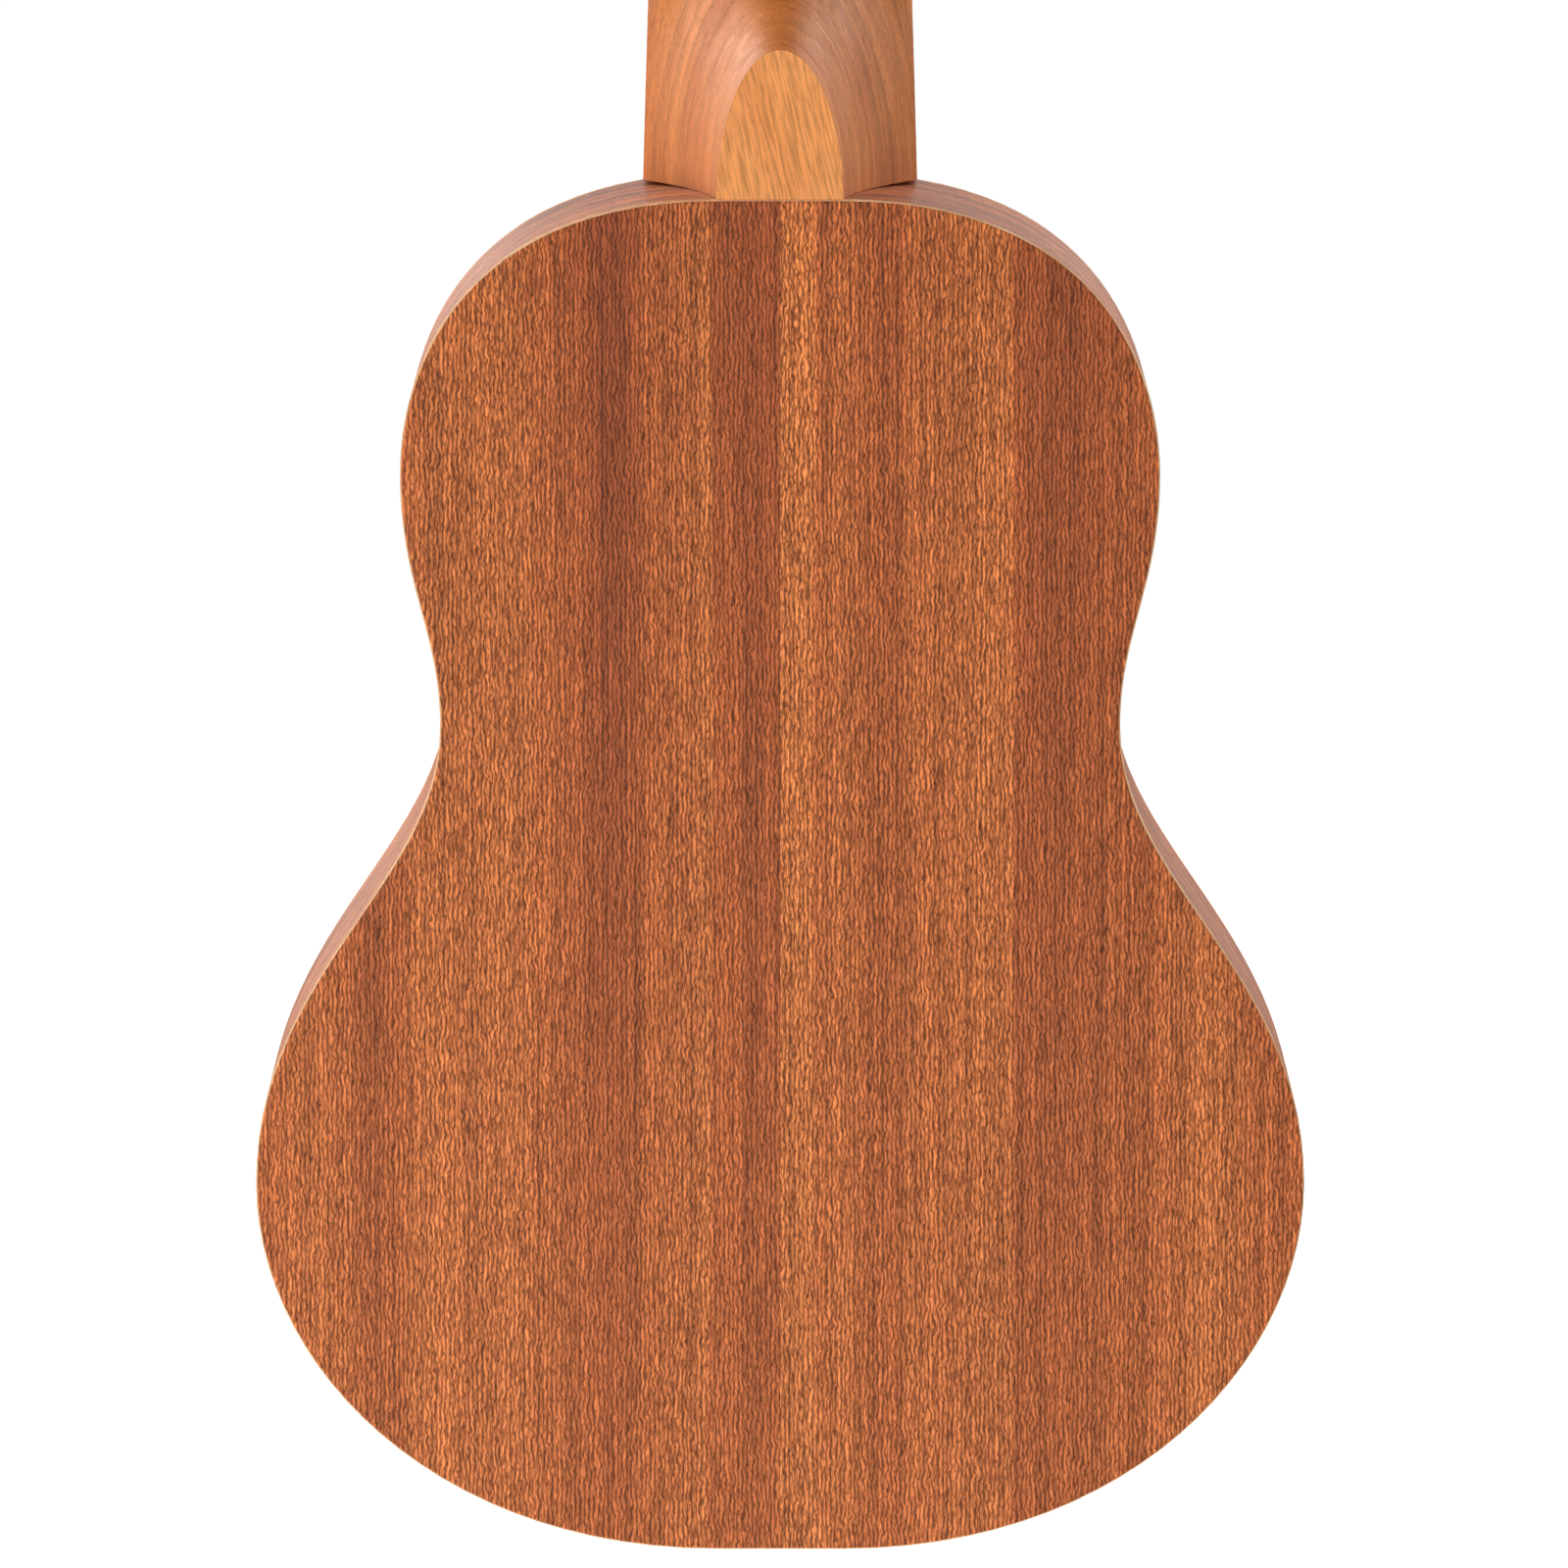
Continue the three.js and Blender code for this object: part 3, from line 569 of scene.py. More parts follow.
def softened(node, name, material, width, segments=2):
    """A copy of a CAD node with its sharp edges rounded."""
    bm = bmesh.new()
    bm.from_mesh(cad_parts[node].data)
    bmesh.ops.remove_doubles(bm, verts=bm.verts, dist=2e-6)
    bmesh.ops.scale(bm, vec=(1 / MM,) * 3, verts=bm.verts)
    bmesh.ops.dissolve_limit(bm, angle_limit=math.radians(1), verts=bm.verts, edges=bm.edges)
    bmesh.ops.recalc_face_normals(bm, faces=bm.faces)
    sharp = [
        e for e in bm.edges if len(e.link_faces) == 2 and e.calc_face_angle() > math.radians(30)
    ]
    bmesh.ops.bevel(
        bm, geom=sharp, offset=width, segments=segments, profile=0.5, affect="EDGES",
        material=-1, clamp_overlap=True,
    )
    return finished(bm, name, material, INSTRUMENT, (node,), sharp=40)


# ---- body ---------------------------------------------------------------------------


STEPS_A_STRETCH = 26


def side_points():
    """(x, z) down the +X side of the body."""
    points = []
    for i, stretch in enumerate(STRETCHES):
        knots = [Vector((x, BODY_TOP - drop)) for x, drop in stretch]
        run = interpolate_bezier(*knots, STEPS_A_STRETCH + 1)
        points += run[1:] if i else run
    return points


def outline():
    right = side_points()
    return [tuple(p) for p in right] + [(-p.x, p.y) for p in reversed(right)]


def circle(x, z, radius, count=64):
    turns = [2 * math.pi * k / count for k in range(count)]
    return [(x + radius * math.cos(t), z + radius * math.sin(t)) for t in turns]


PLATE_ROUNDING = 0.55
# Faces that lean this far from flat are painted pale: the cut edge, and a painted highlight on the
# rounding.
EDGE_FACING = 0.8  # a face whose normal has less than this along Y is edge
RIB_END_GAP = 8.3  # half the gap between the ribs at the neck block
RIB_GRAIN_SHIFT = 0.4  # metres across the log, each way, so that the ribs' grain differs


def make_plate_board(name, node, wood, y_front, y_back, holes):
    bm = board(outline(), y_front, y_back, PLATE_ROUNDING, holes)
    piece = finished(bm, name, wood, INSTRUMENT, (node,), 50, PALE_EDGE_AND_HIGHLIGHT)
    # The second material goes on the cut edge and the rounding next to it: pale wood on the cut
    # edge, and a painted highlight along the rounding.
    for face in piece.data.polygons:
        if abs(face.normal.y) < EDGE_FACING:
            face.material_index = 1


def make_ribs():
    chain = [(RIB_END_GAP, BODY_TOP)] + [tuple(p) for p in side_points()] + [(0, BODY_BOTTOM)]
    for side, node in ((1, "bass_rib"), (-1, "treble_rib")):
        bm = bmesh.new()
        verts = [bm.verts.new((side * x, BACK_INSIDE, z)) for x, z in chain]
        edges = [bm.edges.new(pair) for pair in zip(verts, verts[1:])]
        raised = bmesh.ops.extrude_edge_only(bm, edges=edges)["geom"]
        lifted = [v for v in raised if isinstance(v, bmesh.types.BMVert)]
        bmesh.ops.translate(bm, vec=(0, TOP_INSIDE - BACK_INSIDE, 0), verts=lifted)
        bmesh.ops.recalc_face_normals(bm, faces=bm.faces)
        facing = sum(f.normal.dot(f.calc_center_median() - MIDDLE_OF_BODY) for f in bm.faces)
        if facing < 0:
            bmesh.ops.reverse_faces(bm, faces=bm.faces)
        bm.normal_update()
        bmesh.ops.solidify(bm, geom=list(bm.faces), thickness=RIB_THICK)
        bmesh.ops.recalc_face_normals(bm, faces=bm.faces)
        piece = finished(bm, node + "_bent", RIB_WOOD, INSTRUMENT, (node,), 50)
        lay_grain(piece, chain, side)


def lay_grain(piece, chain, side):
    """A UV map whose U runs round the rib and whose V runs across it, in metres."""
    lengths = [0.0]
    for a, b in zip(chain, chain[1:]):
        lengths.append(lengths[-1] + math.dist(a, b))
    uv = piece.data.uv_layers.new(name="grain")
    nearest = {}
    for v in piece.data.vertices:
        x, z = side * v.co.x / MM, v.co.z / MM
        k = min(range(len(chain)), key=lambda i: (chain[i][0] - x) ** 2 + (chain[i][1] - z) ** 2)
        nearest[v.index] = (lengths[k] * MM * side, v.co.y + RIB_GRAIN_SHIFT * side)
    for loop in piece.data.loops:
        uv.data[loop.index].uv = nearest[loop.vertex_index]


sound_hole = circle(0, HOLE_Z, HOLE_RADIUS, 96)
make_plate_board("back_board", "back_plate", BACK_WOOD, BACK_INSIDE, BACK_FACE, [])
make_plate_board("sound_board", "soundboard", TOP_WOOD, 0, TOP_INSIDE, [sound_hole])
make_ribs()

# ---- neck ---------------------------------------------------------------------------

HALF_AT_BODY, HALF_AT_NUT = 23.35, 18.75
THICK_AT_BODY, THICK_AT_NUT = 15.5, 13.5
ROUNDNESS = 0.84
CAP_HALF, CAP_LENGTH = 10.6, 25  # the heel's flat cap, a half oval
HEEL_LENGTH = 48  # from the body to where the heel has run out into the shaft
HEEL_SIDE = 13.5  # upright side of the heel below the fretboard
HEEL_HOLLOW = 0.6  # exponent of the hollow flare; 1 is straight
HEEL_BLEND = 5  # how softly the flare runs into the round shaft
SECTION_STEPS = 44
HEEL_ZONE = HEEL_LENGTH + 16  # above this the section is a plain oval
SIDE_STEPS = CAP_STEPS = 5
FRONT_STEPS = (-2, -1, 0, 1, 2)  # thirds of the half width, across the flat front
HEAD_FOOT, HEAD_HALF, HEAD_ROUNDING = 20, 27, 0.8
HEAD_TOP = 124
HEAD_SIDE = (28.5, 66)  # (x, height) halfway up the straight side of the head
POST_HOLE = 4.6


def mix(a, b, t):
    return a + (b - a) * t


def half_width(z):
    return mix(HALF_AT_NUT, HALF_AT_BODY, z / BODY_TOP)


def oval_point(t, w, depth, power):
    turn = t * math.pi / 2
    across = max(0.0, math.cos(turn)) ** power
    down = math.sin(turn) ** power
    return Vector((w * across, -depth * down))


def heel_depth(x, lift, w, shaft):
    """How deep the hollow flare of the heel is at (x, lift), outside its cap."""
    inner = math.hypot(x / CAP_HALF, lift / CAP_LENGTH)
    outer = math.hypot(x / w, lift / HEEL_LENGTH)
    out_of_cap = max(0.0, (1 - 1 / inner) / (1 / outer - 1 / inner)) if inner > 1 else 0.0
    foot = mix(shaft, HEEL_SIDE, min(1.0, x / w))
    return -BACK_FACE - (-BACK_FACE - foot) * out_of_cap**HEEL_HOLLOW


def soft_max(a, b, blend):
    near = max(blend - abs(a - b), 0) / blend
    return max(a, b) + near * near * blend / 4


def neck_half(z):
    """(x, y) from the fretboard's edge round to the middle of the neck's back."""
    lift = z - BODY_TOP
    w = half_width(z)
    shaft = mix(THICK_AT_NUT, THICK_AT_BODY, z / BODY_TOP)
    if lift > HEEL_ZONE:
        return [
            oval_point(k / SECTION_STEPS, w, shaft, ROUNDNESS) for k in range(SECTION_STEPS + 1)
        ]
    cap = CAP_HALF * math.sqrt(max(0.0, 1 - (lift / CAP_LENGTH) ** 2))
    flare_steps = SECTION_STEPS - SIDE_STEPS - CAP_STEPS
    round_depth = 2 / ROUNDNESS
    points = []
    for k in range(flare_steps + 1):
        t = k / flare_steps
        x = cap + (w - cap) * max(0.0, math.cos(t * math.pi / 2)) ** 1.15
        oval = shaft * max(0.0, 1 - (x / w) ** round_depth) ** (1 / round_depth)
        heel = heel_depth(x, max(lift, 0.01), w, shaft)
        deep = soft_max(oval, heel, HEEL_BLEND) if heel < -BACK_FACE - 6 else heel
        points.append(Vector((x, -min(deep, -BACK_FACE))))
    side = [Vector((w, points[0].y * k / SIDE_STEPS)) for k in range(SIDE_STEPS)]
    flat = [Vector((cap * (1 - k / CAP_STEPS), points[-1].y)) for k in range(1, CAP_STEPS + 1)]
    return side + points + flat


def neck_ring(z):
    """The neck's section at height z, as one closed ring of (x, y, z) points."""
    half = neck_half(z)
    w = half_width(z)
    ring = [Vector((p.x, p.y, z)) for p in half]
    ring += [Vector((-p.x, p.y, z)) for p in reversed(half[:-1])]
    return ring + [Vector((x * w / 3, 0, z)) for x in FRONT_STEPS]


def slab_point(t, w, depth):
    """A point of the head's section: a square slab with softened edges."""
    front, side, back = 0.1, 0.34, 0.46
    r = HEAD_ROUNDING
    if t < front:
        turn = t / front * math.pi / 2
        return Vector((w - r + r * math.sin(turn), -r + r * math.cos(turn)))
    if t < side:
        return Vector((w, mix(-r, r - depth, (t - front) / (side - front))))
    if t < back:
        turn = (t - side) / (back - side) * math.pi / 2
        return Vector((w - r + r * math.cos(turn), r - depth - r * math.sin(turn)))
    return Vector((mix(w - r, 0, (t - back) / (1 - back)), -depth))


def head_ring(s):
    """The section `s` above the head's foot, as it turns from oval to slab."""
    grow = min(1.0, s / HEAD_FOOT)
    smooth = grow * grow * (3 - 2 * grow)
    w = mix(HALF_AT_NUT, HEAD_HALF, smooth)
    depth = mix(THICK_AT_NUT, HEAD_THICK, smooth)
    half = []
    for k in range(SECTION_STEPS + 1):
        t = k / SECTION_STEPS
        half.append(oval_point(t, w, depth, ROUNDNESS).lerp(slab_point(t, w, depth), smooth))
    ring = [Vector((p.x, p.y, s)) for p in half]
    ring += [Vector((-p.x, p.y, s)) for p in reversed(half[:-1])]
    ring += [Vector((x * half[0].x / 3, 0, s)) for x in FRONT_STEPS]
    return [HEAD @ p for p in ring]


def make_neck():
    lifts = [CAP_LENGTH * math.sin(k / 24 * math.pi / 2) for k in range(25)]
    lifts += [CAP_LENGTH + 38 * (k / 24) ** 2 for k in range(1, 25)]
    lifts += [64.5, 80, 100, 120, 140, 155, 165, 172.9]
    rings = [neck_ring(BODY_TOP + lift) for lift in lifts]
    rings += [head_ring(0.3)] + [head_ring(s) for s in range(2, HEAD_FOOT + 1, 2)]
    piece = finished(wrapped_grid(rings), "neck_shaft", NECK_WOOD, INSTRUMENT, ("neck",),
                     32, CAP_WOOD)
    for face in piece.data.polygons:
        flat = all(abs(piece.data.vertices[i].co.y / MM - BACK_FACE) < 0.01 for i in face.vertices)
        if flat and face.normal.y < -0.99:
            face.material_index = 1


def head_outline():
    """The head's (x, height) outline, which starts a hair inside the neck's last ring."""
    top = HEAD_TOP
    crest = (
        ((30, top - 12), (30, top - 3), (22, top - 1), (16, top - 4)),
        ((16, top - 4), (11.3, top - 6.7), (6, top - 5.3), (0, top)),
    )
    right = [Vector((HEAD_HALF, HEAD_FOOT - 0.03)), Vector(HEAD_SIDE)]
    for stretch in crest:
        right += interpolate_bezier(*[Vector(p) for p in stretch], 15)[:-1]
    points = right + [Vector((0, top))] + [Vector((-p.x, p.y)) for p in reversed(right)]
    return [tuple(p) for p in points]


def make_head():
    holes = [circle(side * POST_X, along, POST_HOLE, 32) for _, side, along, *_ in STRINGS]
    bm = board(head_outline(), 0, -HEAD_THICK, HEAD_ROUNDING, holes, square_below=HEAD_FOOT)
    bm.transform(HEAD)
    finished(bm, "peg_head", NECK_WOOD, INSTRUMENT, ("neck",), 20)


make_neck()
make_head()

# ---- fretboard, nut and bridge ----------------------------------------------------------

BOARD_THICK = 4
DOT_FRETS, DOT_RADIUS, DOT_THICK = (5, 7, 10), 2.5, 0.06


def fret_z(n):
    return SCALE_LENGTH / 2 ** (n / 12) - SCALE_LENGTH


def make_fretboard():
    end = BODY_TOP - 5.5
    corners = [(half_width(0), 0), (half_width(end), end), (-half_width(end), end),
               (-half_width(0), 0)]
    bm = board(corners, BOARD_THICK, 0, 0.4)
    finished(bm, "finger_board", DARK_WOOD, INSTRUMENT, ("fretboard",), 40)
    for n in range(1, FRET_COUNT + 1):
        half = half_width(fret_z(n)) - 0.2
        bm = bmesh.new()
        turns = [math.pi * k / 12 for k in range(13)]
        profile = [(BOARD_THICK + math.sin(t), fret_z(n) + math.cos(t)) for t in turns]
        verts = [bm.verts.new((-half, y, z)) for y, z in profile]
        bm.faces.new(verts)
        raised = bmesh.ops.extrude_face_region(bm, geom=list(bm.faces), use_keep_orig=True)["geom"]
        lifted = [v for v in raised if isinstance(v, bmesh.types.BMVert)]
        bmesh.ops.translate(bm, vec=(2 * half, 0, 0), verts=lifted)
        bmesh.ops.recalc_face_normals(bm, faces=bm.faces)
        ends = [
            e for e in bm.edges
            if e.calc_face_angle() > 1 and abs(e.verts[0].co.x - e.verts[1].co.x) < NEAR
        ]
        bmesh.ops.bevel(bm, geom=ends, offset=0.3, segments=2, profile=0.5, affect="EDGES",
                        material=-1)
        name = f"fret_{n:02d}"
        finished(bm, name + "_crown", FRET_METAL, INSTRUMENT, (name,), 40)


def make_dots():
    bm = bmesh.new()
    for n in DOT_FRETS:
        middle = (fret_z(n) + fret_z(n - 1)) / 2
        spot = Matrix.Translation((0, BOARD_THICK + 0.02, middle)) @ Matrix.Rotation(
            math.pi / 2, 4, "X"
        )
        bmesh.ops.create_cone(
            bm, cap_ends=True, segments=40, radius1=DOT_RADIUS, radius2=DOT_RADIUS,
            depth=DOT_THICK, matrix=spot,
        )
    finished(bm, "position_dots", PEARL, INSTRUMENT, (), 30)


make_fretboard()
make_dots()
softened("nut", "nut_bone", BONE, 0.2)
softened("saddle", "saddle_bone", BONE, 0.25, 3)
softened("bridge", "tie_bridge", DARK_WOOD, 0.45, 3)
for brace in ("upper_top_brace", "lower_top_brace", "upper_back_brace", "lower_back_brace"):
    softened(brace, brace + "_shaped", SPRUCE, 0.9)
for node, name in (
    ("bridge_plate", "bridge_patch"),
    ("neck_block", "neck_block_shaped"),
    ("tail_block", "tail_block_shaped"),
):
    softened(node, name, SPRUCE, 0.5)
for edge_name in ("top_lining", "back_lining"):
    for side_name in ("bass", "treble"):
        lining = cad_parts[f"{edge_name}_{side_name}"]
        lining.data.materials.clear()
        lining.data.materials.append(SPRUCE)

# ---- tuners -------------------------------------------------------------------------

# A tuner is made round its post: X out of the head's side, Y out of its front face.
BACK_OF_HEAD = -HEAD_THICK - 0.3
GEAR_Y = BACK_OF_HEAD - 4.6
WORM_Z = 7.05
TEETH = 14
PITCH = 2.08
COG_RADIUS, TOOTH = 4.65, 0.5
WORM_RADIUS, THREAD, THREAD_LENGTH = 2.15, 0.55, 9.36
SHAFT = 1.5
EAR_HALF, EAR_RISE = 3.2, 4.2
POST_TOP = 13
PLATE_HALF, PLATE_FROM, PLATE_TO = 6.6, -12, 17


def placed(bm, side, along):
    """Moves a tuner's piece from its own frame onto the head."""
    move = HEAD @ Matrix.Translation((side * POST_X, 0, along)) @ Matrix.Diagonal((side, 1, 1, 1))
    bm.transform(move)
    bmesh.ops.recalc_face_normals(bm, faces=bm.faces)
    return bm


def rod_x(x_from, x_to, radius, rounding=0.0):
    """A round rod along X, on the worm's axis."""
    profile = [(0, x_from), (radius - rounding, x_from), (radius, x_from + rounding),
               (radius, x_to - rounding), (radius - rounding, x_to), (0, x_to)]
    bm = turned(profile, 24)
    bm.transform(Matrix.Translation((0, GEAR_Y, WORM_Z)) @ Matrix.Rotation(-math.pi / 2, 4, "Z"))
    return bm


def joined(*parts):
    """One bmesh from several."""
    whole = bmesh.new()
    for part in parts:
        mesh = bpy.data.meshes.new("part")
        part.to_mesh(mesh)
        part.free()
        whole.from_mesh(mesh)
        bpy.data.meshes.remove(mesh)
    return whole


def rounded_plate():
    corner = PLATE_HALF - 1
    points = []
    for cx, cz, start in ((1, PLATE_TO - corner, 0), (-1, PLATE_TO - corner, 90),
                          (-1, PLATE_FROM + corner, 180), (1, PLATE_FROM + corner, 270)):
        for k in range(9):
            turn = math.radians(start + 90 * k / 8)
            points.append((cx + corner * math.cos(turn), cz + corner * math.sin(turn)))
    return board(points, BACK_OF_HEAD, BACK_OF_HEAD - 1, 0.25, [circle(0, 0, 3.3, 32)])


def plate_ear(x):
    """An ear that stands off the plate, with the hole the worm shaft runs in."""
    points = [(WORM_Z - EAR_HALF, -0.9), (WORM_Z + EAR_HALF, -0.9)]
    for k in range(13):
        turn = math.pi * k / 12
        points.append((WORM_Z + EAR_HALF * math.cos(turn), -EAR_RISE - 3 * math.sin(turn)))
    bm = board(points, 0.6, -0.6, 0.2, [circle(WORM_Z, -4.6, SHAFT + 0.35, 24)])
    # The board was cut in (x, z); turn it to stand across the head.
    bm.transform(Matrix(((0, 1, 0, x), (0, 0, 1, BACK_OF_HEAD), (1, 0, 0, 0), (0, 0, 0, 1))))
    bmesh.ops.recalc_face_normals(bm, faces=bm.faces)
    return bm


def worm_thread():
    rows = round(THREAD_LENGTH / PITCH * 16)
    around = 32
    rings = []
    for level in range(rows + 1):
        x = mix(-THREAD_LENGTH / 2, THREAD_LENGTH / 2, level / rows)
        ring = []
        for k in range(around):
            turn = 2 * math.pi * k / around
            wave = math.cos(2 * math.pi * x / PITCH - turn - math.pi / 2)
            r = WORM_RADIUS + THREAD * wave
            ring.append(Vector((x, r * math.cos(turn) + GEAR_Y, r * math.sin(turn) + WORM_Z)))
        rings.append(ring)
    return wrapped_grid(rings)


def make_worm(name, side, along):
    inner = rod_x(-PLATE_HALF - 1, PLATE_HALF + 0.8, SHAFT, 0.25)
    collar = rod_x(PLATE_HALF + 0.5, PLATE_HALF + 2.2, 2.2, 0.3)
    outer = rod_x(PLATE_HALF + 2, 25.4, SHAFT)
    bm = joined(worm_thread(), inner, collar, outer)
    finished(placed(bm, side, along), f"worm_shaft_{name}", NICKEL, "button_" + name,
             ("tuner_worm_" + name,), 50)


def make_button(name, side, along):
    profile = [(0, 0.1), (1.9, 0.1), (2.5, 0.3), (2.7, 0.8), (2.65, 1.6), (2.9, 2.6), (3.7, 3.8),
               (4.7, 5.2), (5.4, 6.8), (5.65, 8.5), (5.55, 10.2), (5.05, 11.9), (4.1, 13.4),
               (2.8, 14.4), (1.4, 14.85), (0, 14.95)]
    bm = turned(profile, 40)
    bmesh.ops.scale(bm, vec=(1, 1, 0.62), verts=bm.verts)
    bm.transform(Matrix.Translation((21.5, GEAR_Y, WORM_Z)) @ Matrix.Rotation(-math.pi / 2, 4, "Z"))
    finished(placed(bm, side, along), f"button_knob_{name}", BUTTON, "button_" + name,
             ("tuner_button_" + name,), 60)


def make_cog(name, side, along):
    count = TEETH * 12
    points = []
    for k in range(count):
        turn = 2 * math.pi * k / count
        r = COG_RADIUS - TOOTH * math.cos(TEETH * turn)
        points.append((r * math.sin(turn), r * math.cos(turn)))
    bm = board(points, GEAR_Y + 1.3, GEAR_Y - 1.3, 0.12, [circle(0, 0, 1.85, 24)], 1)
    finished(placed(bm, side, along), f"cog_wheel_{name}", BRASS, "post_" + name,
             ("tuner_cog_" + name,), 40)


def make_post(name, side, along):
    shoulder = GEAR_Y + 1.5
    profile = [(0, GEAR_Y - 1.8), (1.5, GEAR_Y - 1.8), (1.8, GEAR_Y - 1.5), (1.8, shoulder),
               (3, shoulder), (3, 5.9), (2.85, 6.3), (2.5, 6.7), (2.45, 8), (2.5, 9.3),
               (2.85, 9.7), (3, 10.1), (3, 12.2), (2.75, 12.7), (2.2, POST_TOP), (0, POST_TOP)]
    post = turned(profile, 40)
    screw = turned([(0, GEAR_Y - 2.6), (1.7, GEAR_Y - 2.6), (2.3, GEAR_Y - 2.2),
                    (2.4, GEAR_Y - 1.35), (0, GEAR_Y - 1.35)], 28)
    finished(placed(joined(post, screw), side, along), f"string_post_{name}", NICKEL,
             "post_" + name, ("tuner_post_" + name,), 50)


def make_bushing(name, side, along):
    profile = [(3.25, -9), (4.3, -9), (4.3, 0.3), (6.1, 0.3), (6.2, 0.45), (6.1, 0.8),
               (5.3, 1.2), (4.2, 1.35), (3.5, 1.35), (3.25, 1.2), (3.25, -9)]
    finished(placed(turned(profile, 40), side, along), f"post_bushing_{name}", NICKEL,
             INSTRUMENT, ("tuner_bushing_" + name,), 50)


def make_screws(name, side, along):
    heads = []
    for z in (PLATE_FROM + 3.1, PLATE_TO - 3.1):
        face = BACK_OF_HEAD - 1
        head = turned([(0, face - 0.9), (0.8, face - 0.85), (1.4, face - 0.6), (1.75, face - 0.2),
                       (1.8, face + 0.2), (0, face + 0.2)], 24)
        head.transform(Matrix.Translation((0, 0, z)))
        heads.append(head)
    finished(placed(joined(*heads), side, along), f"plate_screws_{name}", NICKEL, INSTRUMENT,
             (), 50)


def make_plate(name, side, along):
    bm = joined(rounded_plate(), plate_ear(-PLATE_HALF + 0.6), plate_ear(PLATE_HALF - 0.6))
    finished(placed(bm, side, along), f"gear_plate_{name}", NICKEL, INSTRUMENT,
             ("tuner_plate_" + name,), 50)


# ---- strings ------------------------------------------------------------------------


def cord_curve(name, points, radius, body, nodes=()):
    """A round wire through its points, in millimetres, with small bends."""
    data = bpy.data.curves.new(name, "CURVE")
    data.dimensions = "3D"
    data.bevel_depth = radius * MM
    data.bevel_resolution = 4
    data.use_fill_caps = True
    data.resolution_u = 6
    spline = data.splines.new("NURBS")
    spline.points.add(len(points) - 1)
    for point, place in zip(spline.points, points):
        point.co = (*(Vector(place) * MM), 1)
    spline.order_u = 3
    spline.use_endpoint_u = True
    data.materials.append(NYLON)
    piece = bpy.data.objects.new(name, data)
    bpy.context.scene.collection.objects.link(piece)
    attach(piece, body)
    if nodes:
        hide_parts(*nodes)
    return piece


def eased(points, reach=0.8):
    """Adds a point either side of each bend, so that the wire turns close to it."""
    out = [points[0]]
    for before, here, after in zip(points, points[1:], points[2:]):
        out.append(here + (before - here).normalized() * reach)
        out.append(here)
        out.append(here + (after - here).normalized() * reach)
    return out + [points[-1]]


NUT_SLOT, SLOT_RADIUS = 5.4, 0.45  # nut slot floor for this radius; thinner ones lie lower
STRING_LIE = 0.12  # daylight under a string where it bears
SADDLE_Y, SADDLE_Z = 9.5, -346.6
TIE_HOLE = 4.6
POST_WAIST = 2.45
FIRST_TURN, COIL_LENGTH = 7.1, 1.9  # height of the coil's start on the post, and its rise
COIL_TURNS, COIL_STEPS = 2.75, 66


def make_string(name, side, along, nut_x, saddle_x, radius):
    nut_y = NUT_SLOT - (SLOT_RADIUS - radius) + radius + STRING_LIE
    wind = POST_WAIST + radius
    leave = HEAD @ Vector((side * (POST_X - wind), FIRST_TURN, along))
    route = [
        leave,
        Vector((nut_x, nut_y, NUT_THICK - 1)),
        Vector((nut_x, nut_y, 0)),
        Vector((saddle_x, SADDLE_Y + radius + STRING_LIE, SADDLE_Z)),
        Vector((saddle_x, TIE_HOLE, -353.4)),
        Vector((saddle_x, TIE_HOLE, -362)),
    ]
    cord_curve(f"string_line_{name}", eased(route), radius, INSTRUMENT, ("string_" + name,))
    coil = []
    for k in range(COIL_STEPS + 1):
        t = k / COIL_STEPS
        angle = math.pi + t * COIL_TURNS * 2 * math.pi
        y = FIRST_TURN + t * COIL_LENGTH
        around = Vector((side * (POST_X + wind * math.cos(angle)), y,
                         along - wind * math.sin(angle)))
        coil.append(HEAD @ around)
    cord_curve(f"string_turns_{name}", coil, radius, "post_" + name)
    # The tail leaves the back of the tie hole, goes over the bridge and comes back beside itself.
    knot = [(0, TIE_HOLE, -360.4), (0, TIE_HOLE, -362.2), (0.5, 6.2, -362.4), (0.9, 7.8, -361),
            (0.9, 7.9, -357.5), (0.7, 7.7, -353.6), (0.1, 6.9, -352.3), (-0.7, 6.6, -352.6),
            (-1.0, 7.8, -354.2), (-1.1, 7.9, -357.5), (-1.2, 7.9, -360.2), (-1.5, 6.4, -362.3),
            (-1.7, 4.2, -362.6)]
    points = [Vector((saddle_x + x, y, z)) for x, y, z in knot]
    cord_curve(f"string_knot_{name}", points, radius, INSTRUMENT)


for name, side, along, nut_x, saddle_x, radius in STRINGS:
    make_plate(name, side, along)
    make_worm(name, side, along)
    make_button(name, side, along)
    make_cog(name, side, along)
    make_post(name, side, along)
    make_bushing(name, side, along)
    make_screws(name, side, along)
    make_string(name, side, along, nut_x, saddle_x, radius)

# ---- stage --------------------------------------------------------------------------


FLOOR_DROP = 0.25  # metres below the body
FLOOR_HALF = 60
FLOOR_GLOW = 0.7


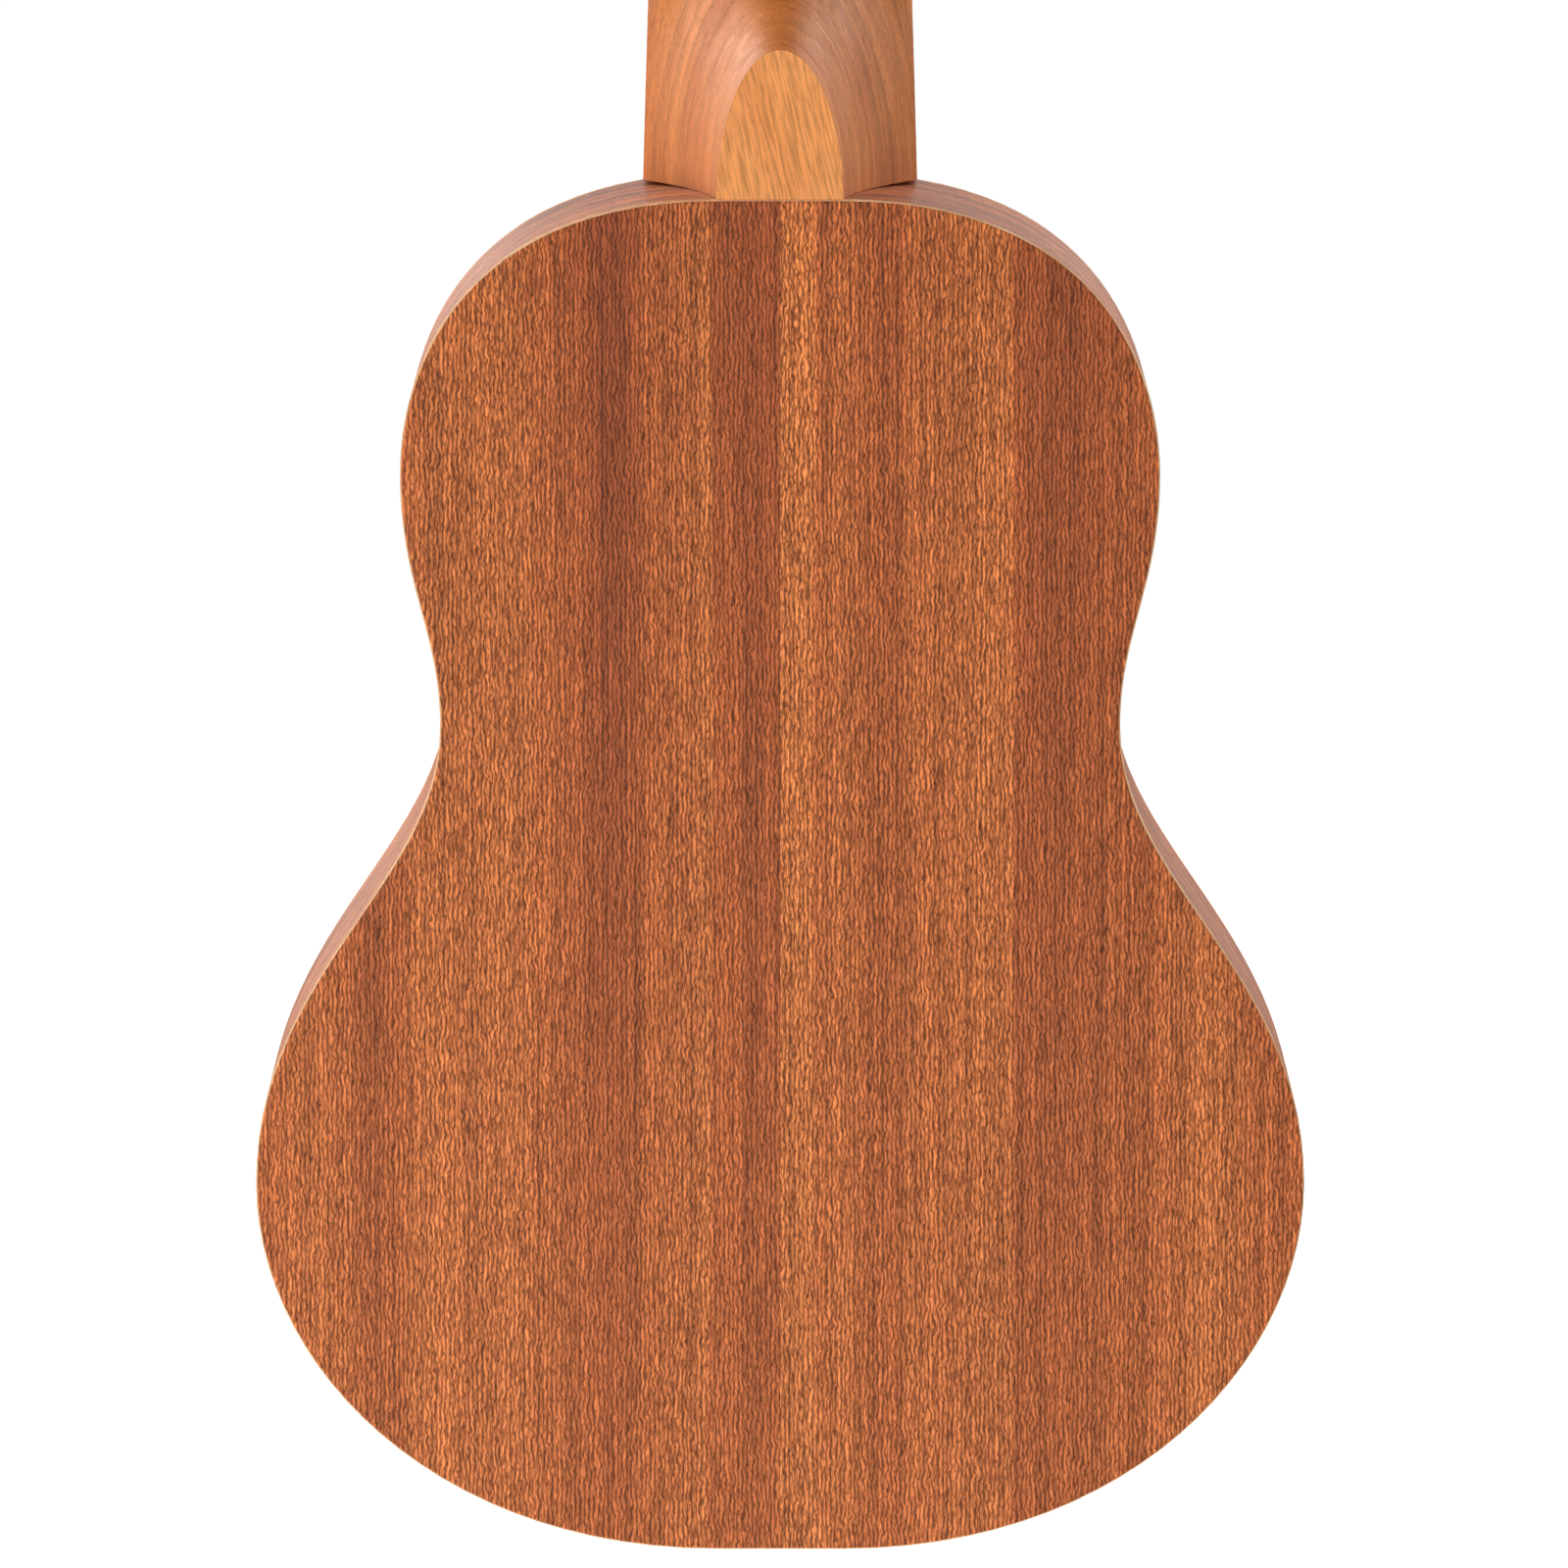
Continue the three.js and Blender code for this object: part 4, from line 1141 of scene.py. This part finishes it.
def make_floor():
    """A pale floor, clear from below so that low lights shine through it."""
    bm = bmesh.new()
    bmesh.ops.create_grid(bm, x_segments=1, y_segments=1, size=FLOOR_HALF)
    bmesh.ops.translate(bm, vec=(0, 0, BODY_BOTTOM * MM - FLOOR_DROP), verts=bm.verts)
    mesh = bpy.data.meshes.new("floor")
    bm.to_mesh(mesh)
    bm.free()
    floor = bpy.data.objects.new("floor", mesh)
    bpy.context.scene.collection.objects.link(floor)
    material, tree, shader = start_material(
        "pale_floor", Base_Color=(0.85, 0.85, 0.85, 1), Roughness=0.9, Specular_IOR_Level=0.0,
        Emission_Color=(1, 1, 1, 1),
    )
    seen = add_node(tree, "LightPath").outputs["Is Camera Ray"]
    glow = calc(tree, "MULTIPLY", seen, FLOOR_GLOW)
    tree.links.new(glow, shader.inputs["Emission Strength"])
    clear = add_node(tree, "BsdfTransparent").outputs[0]
    below = add_node(tree, "NewGeometry").outputs["Backfacing"]
    mixer = add_node(tree, "MixShader", {0: below, 1: shader.outputs[0], 2: clear})
    tree.links.new(mixer.outputs[0], tree.nodes["Material Output"].inputs["Surface"])
    mesh.materials.append(material)


def make_world(light, seen, mirrored):
    """A white room, of one brightness for light, one for the camera and one for gloss."""
    world = bpy.data.worlds.new("studio")
    bpy.context.scene.world = world
    world.use_nodes = True
    tree = world.node_tree
    tree.nodes["Background"].inputs["Color"].default_value = (1, 1, 1, 1)
    ray = add_node(tree, "LightPath").outputs
    strength = calc(tree, "MULTIPLY_ADD", ray["Is Camera Ray"], seen - light, light)
    strength = calc(tree, "MULTIPLY_ADD", ray["Is Glossy Ray"], mirrored - light, strength)
    tree.links.new(strength, tree.nodes["Background"].inputs["Strength"])


LIGHTS_AIM = Vector((0, -0.03, -0.25))


def soft_light(name, place, size, power):
    """A round lamp that points at the body, in metres and watts."""
    data = bpy.data.lights.new(name, "AREA")
    data.shape = "DISK"
    data.size = size
    data.energy = power
    lamp = bpy.data.objects.new(name, data)
    lamp.location = place
    away = LIGHTS_AIM - Vector(place)
    lamp.rotation_mode = "QUATERNION"
    lamp.rotation_quaternion = away.to_track_quat("-Z", "Y")
    bpy.context.scene.collection.objects.link(lamp)


def make_camera():
    """A long lens behind the instrument, a little above level."""
    data = bpy.data.cameras.new("camera")
    data.lens = 330
    data.sensor_width = 36
    data.clip_end = 200
    camera = bpy.data.objects.new("camera", data)
    eye = Vector((0.00066, -2.457, 0.0155))
    aim = Vector((0.00066, -0.057, -0.2715))
    camera.location = eye
    camera.rotation_mode = "QUATERNION"
    camera.rotation_quaternion = (aim - eye).to_track_quat("-Z", "Y")
    bpy.context.scene.collection.objects.link(camera)
    bpy.context.scene.camera = camera


make_floor()
make_world(light=0.38, seen=1.1, mirrored=1.0)
soft_light("key_left", (-1.2, -1.95, -0.7), 1.2, 70)
soft_light("front_left", (-1.5, 1.9, 0.8), 1.4, 35)
soft_light("front_right", (1.8, 1.8, 1.1), 1.4, 33)
soft_light("side_left", (-2.1, 0.4, 0.8), 1.0, 4)
soft_light("side_right", (2.2, -0.35, 0.4), 1.0, 2.5)
soft_light("overhead", (0, 0.6, 2.2), 2.0, 3)
make_camera()
bpy.context.scene.view_settings.view_transform = "Standard"
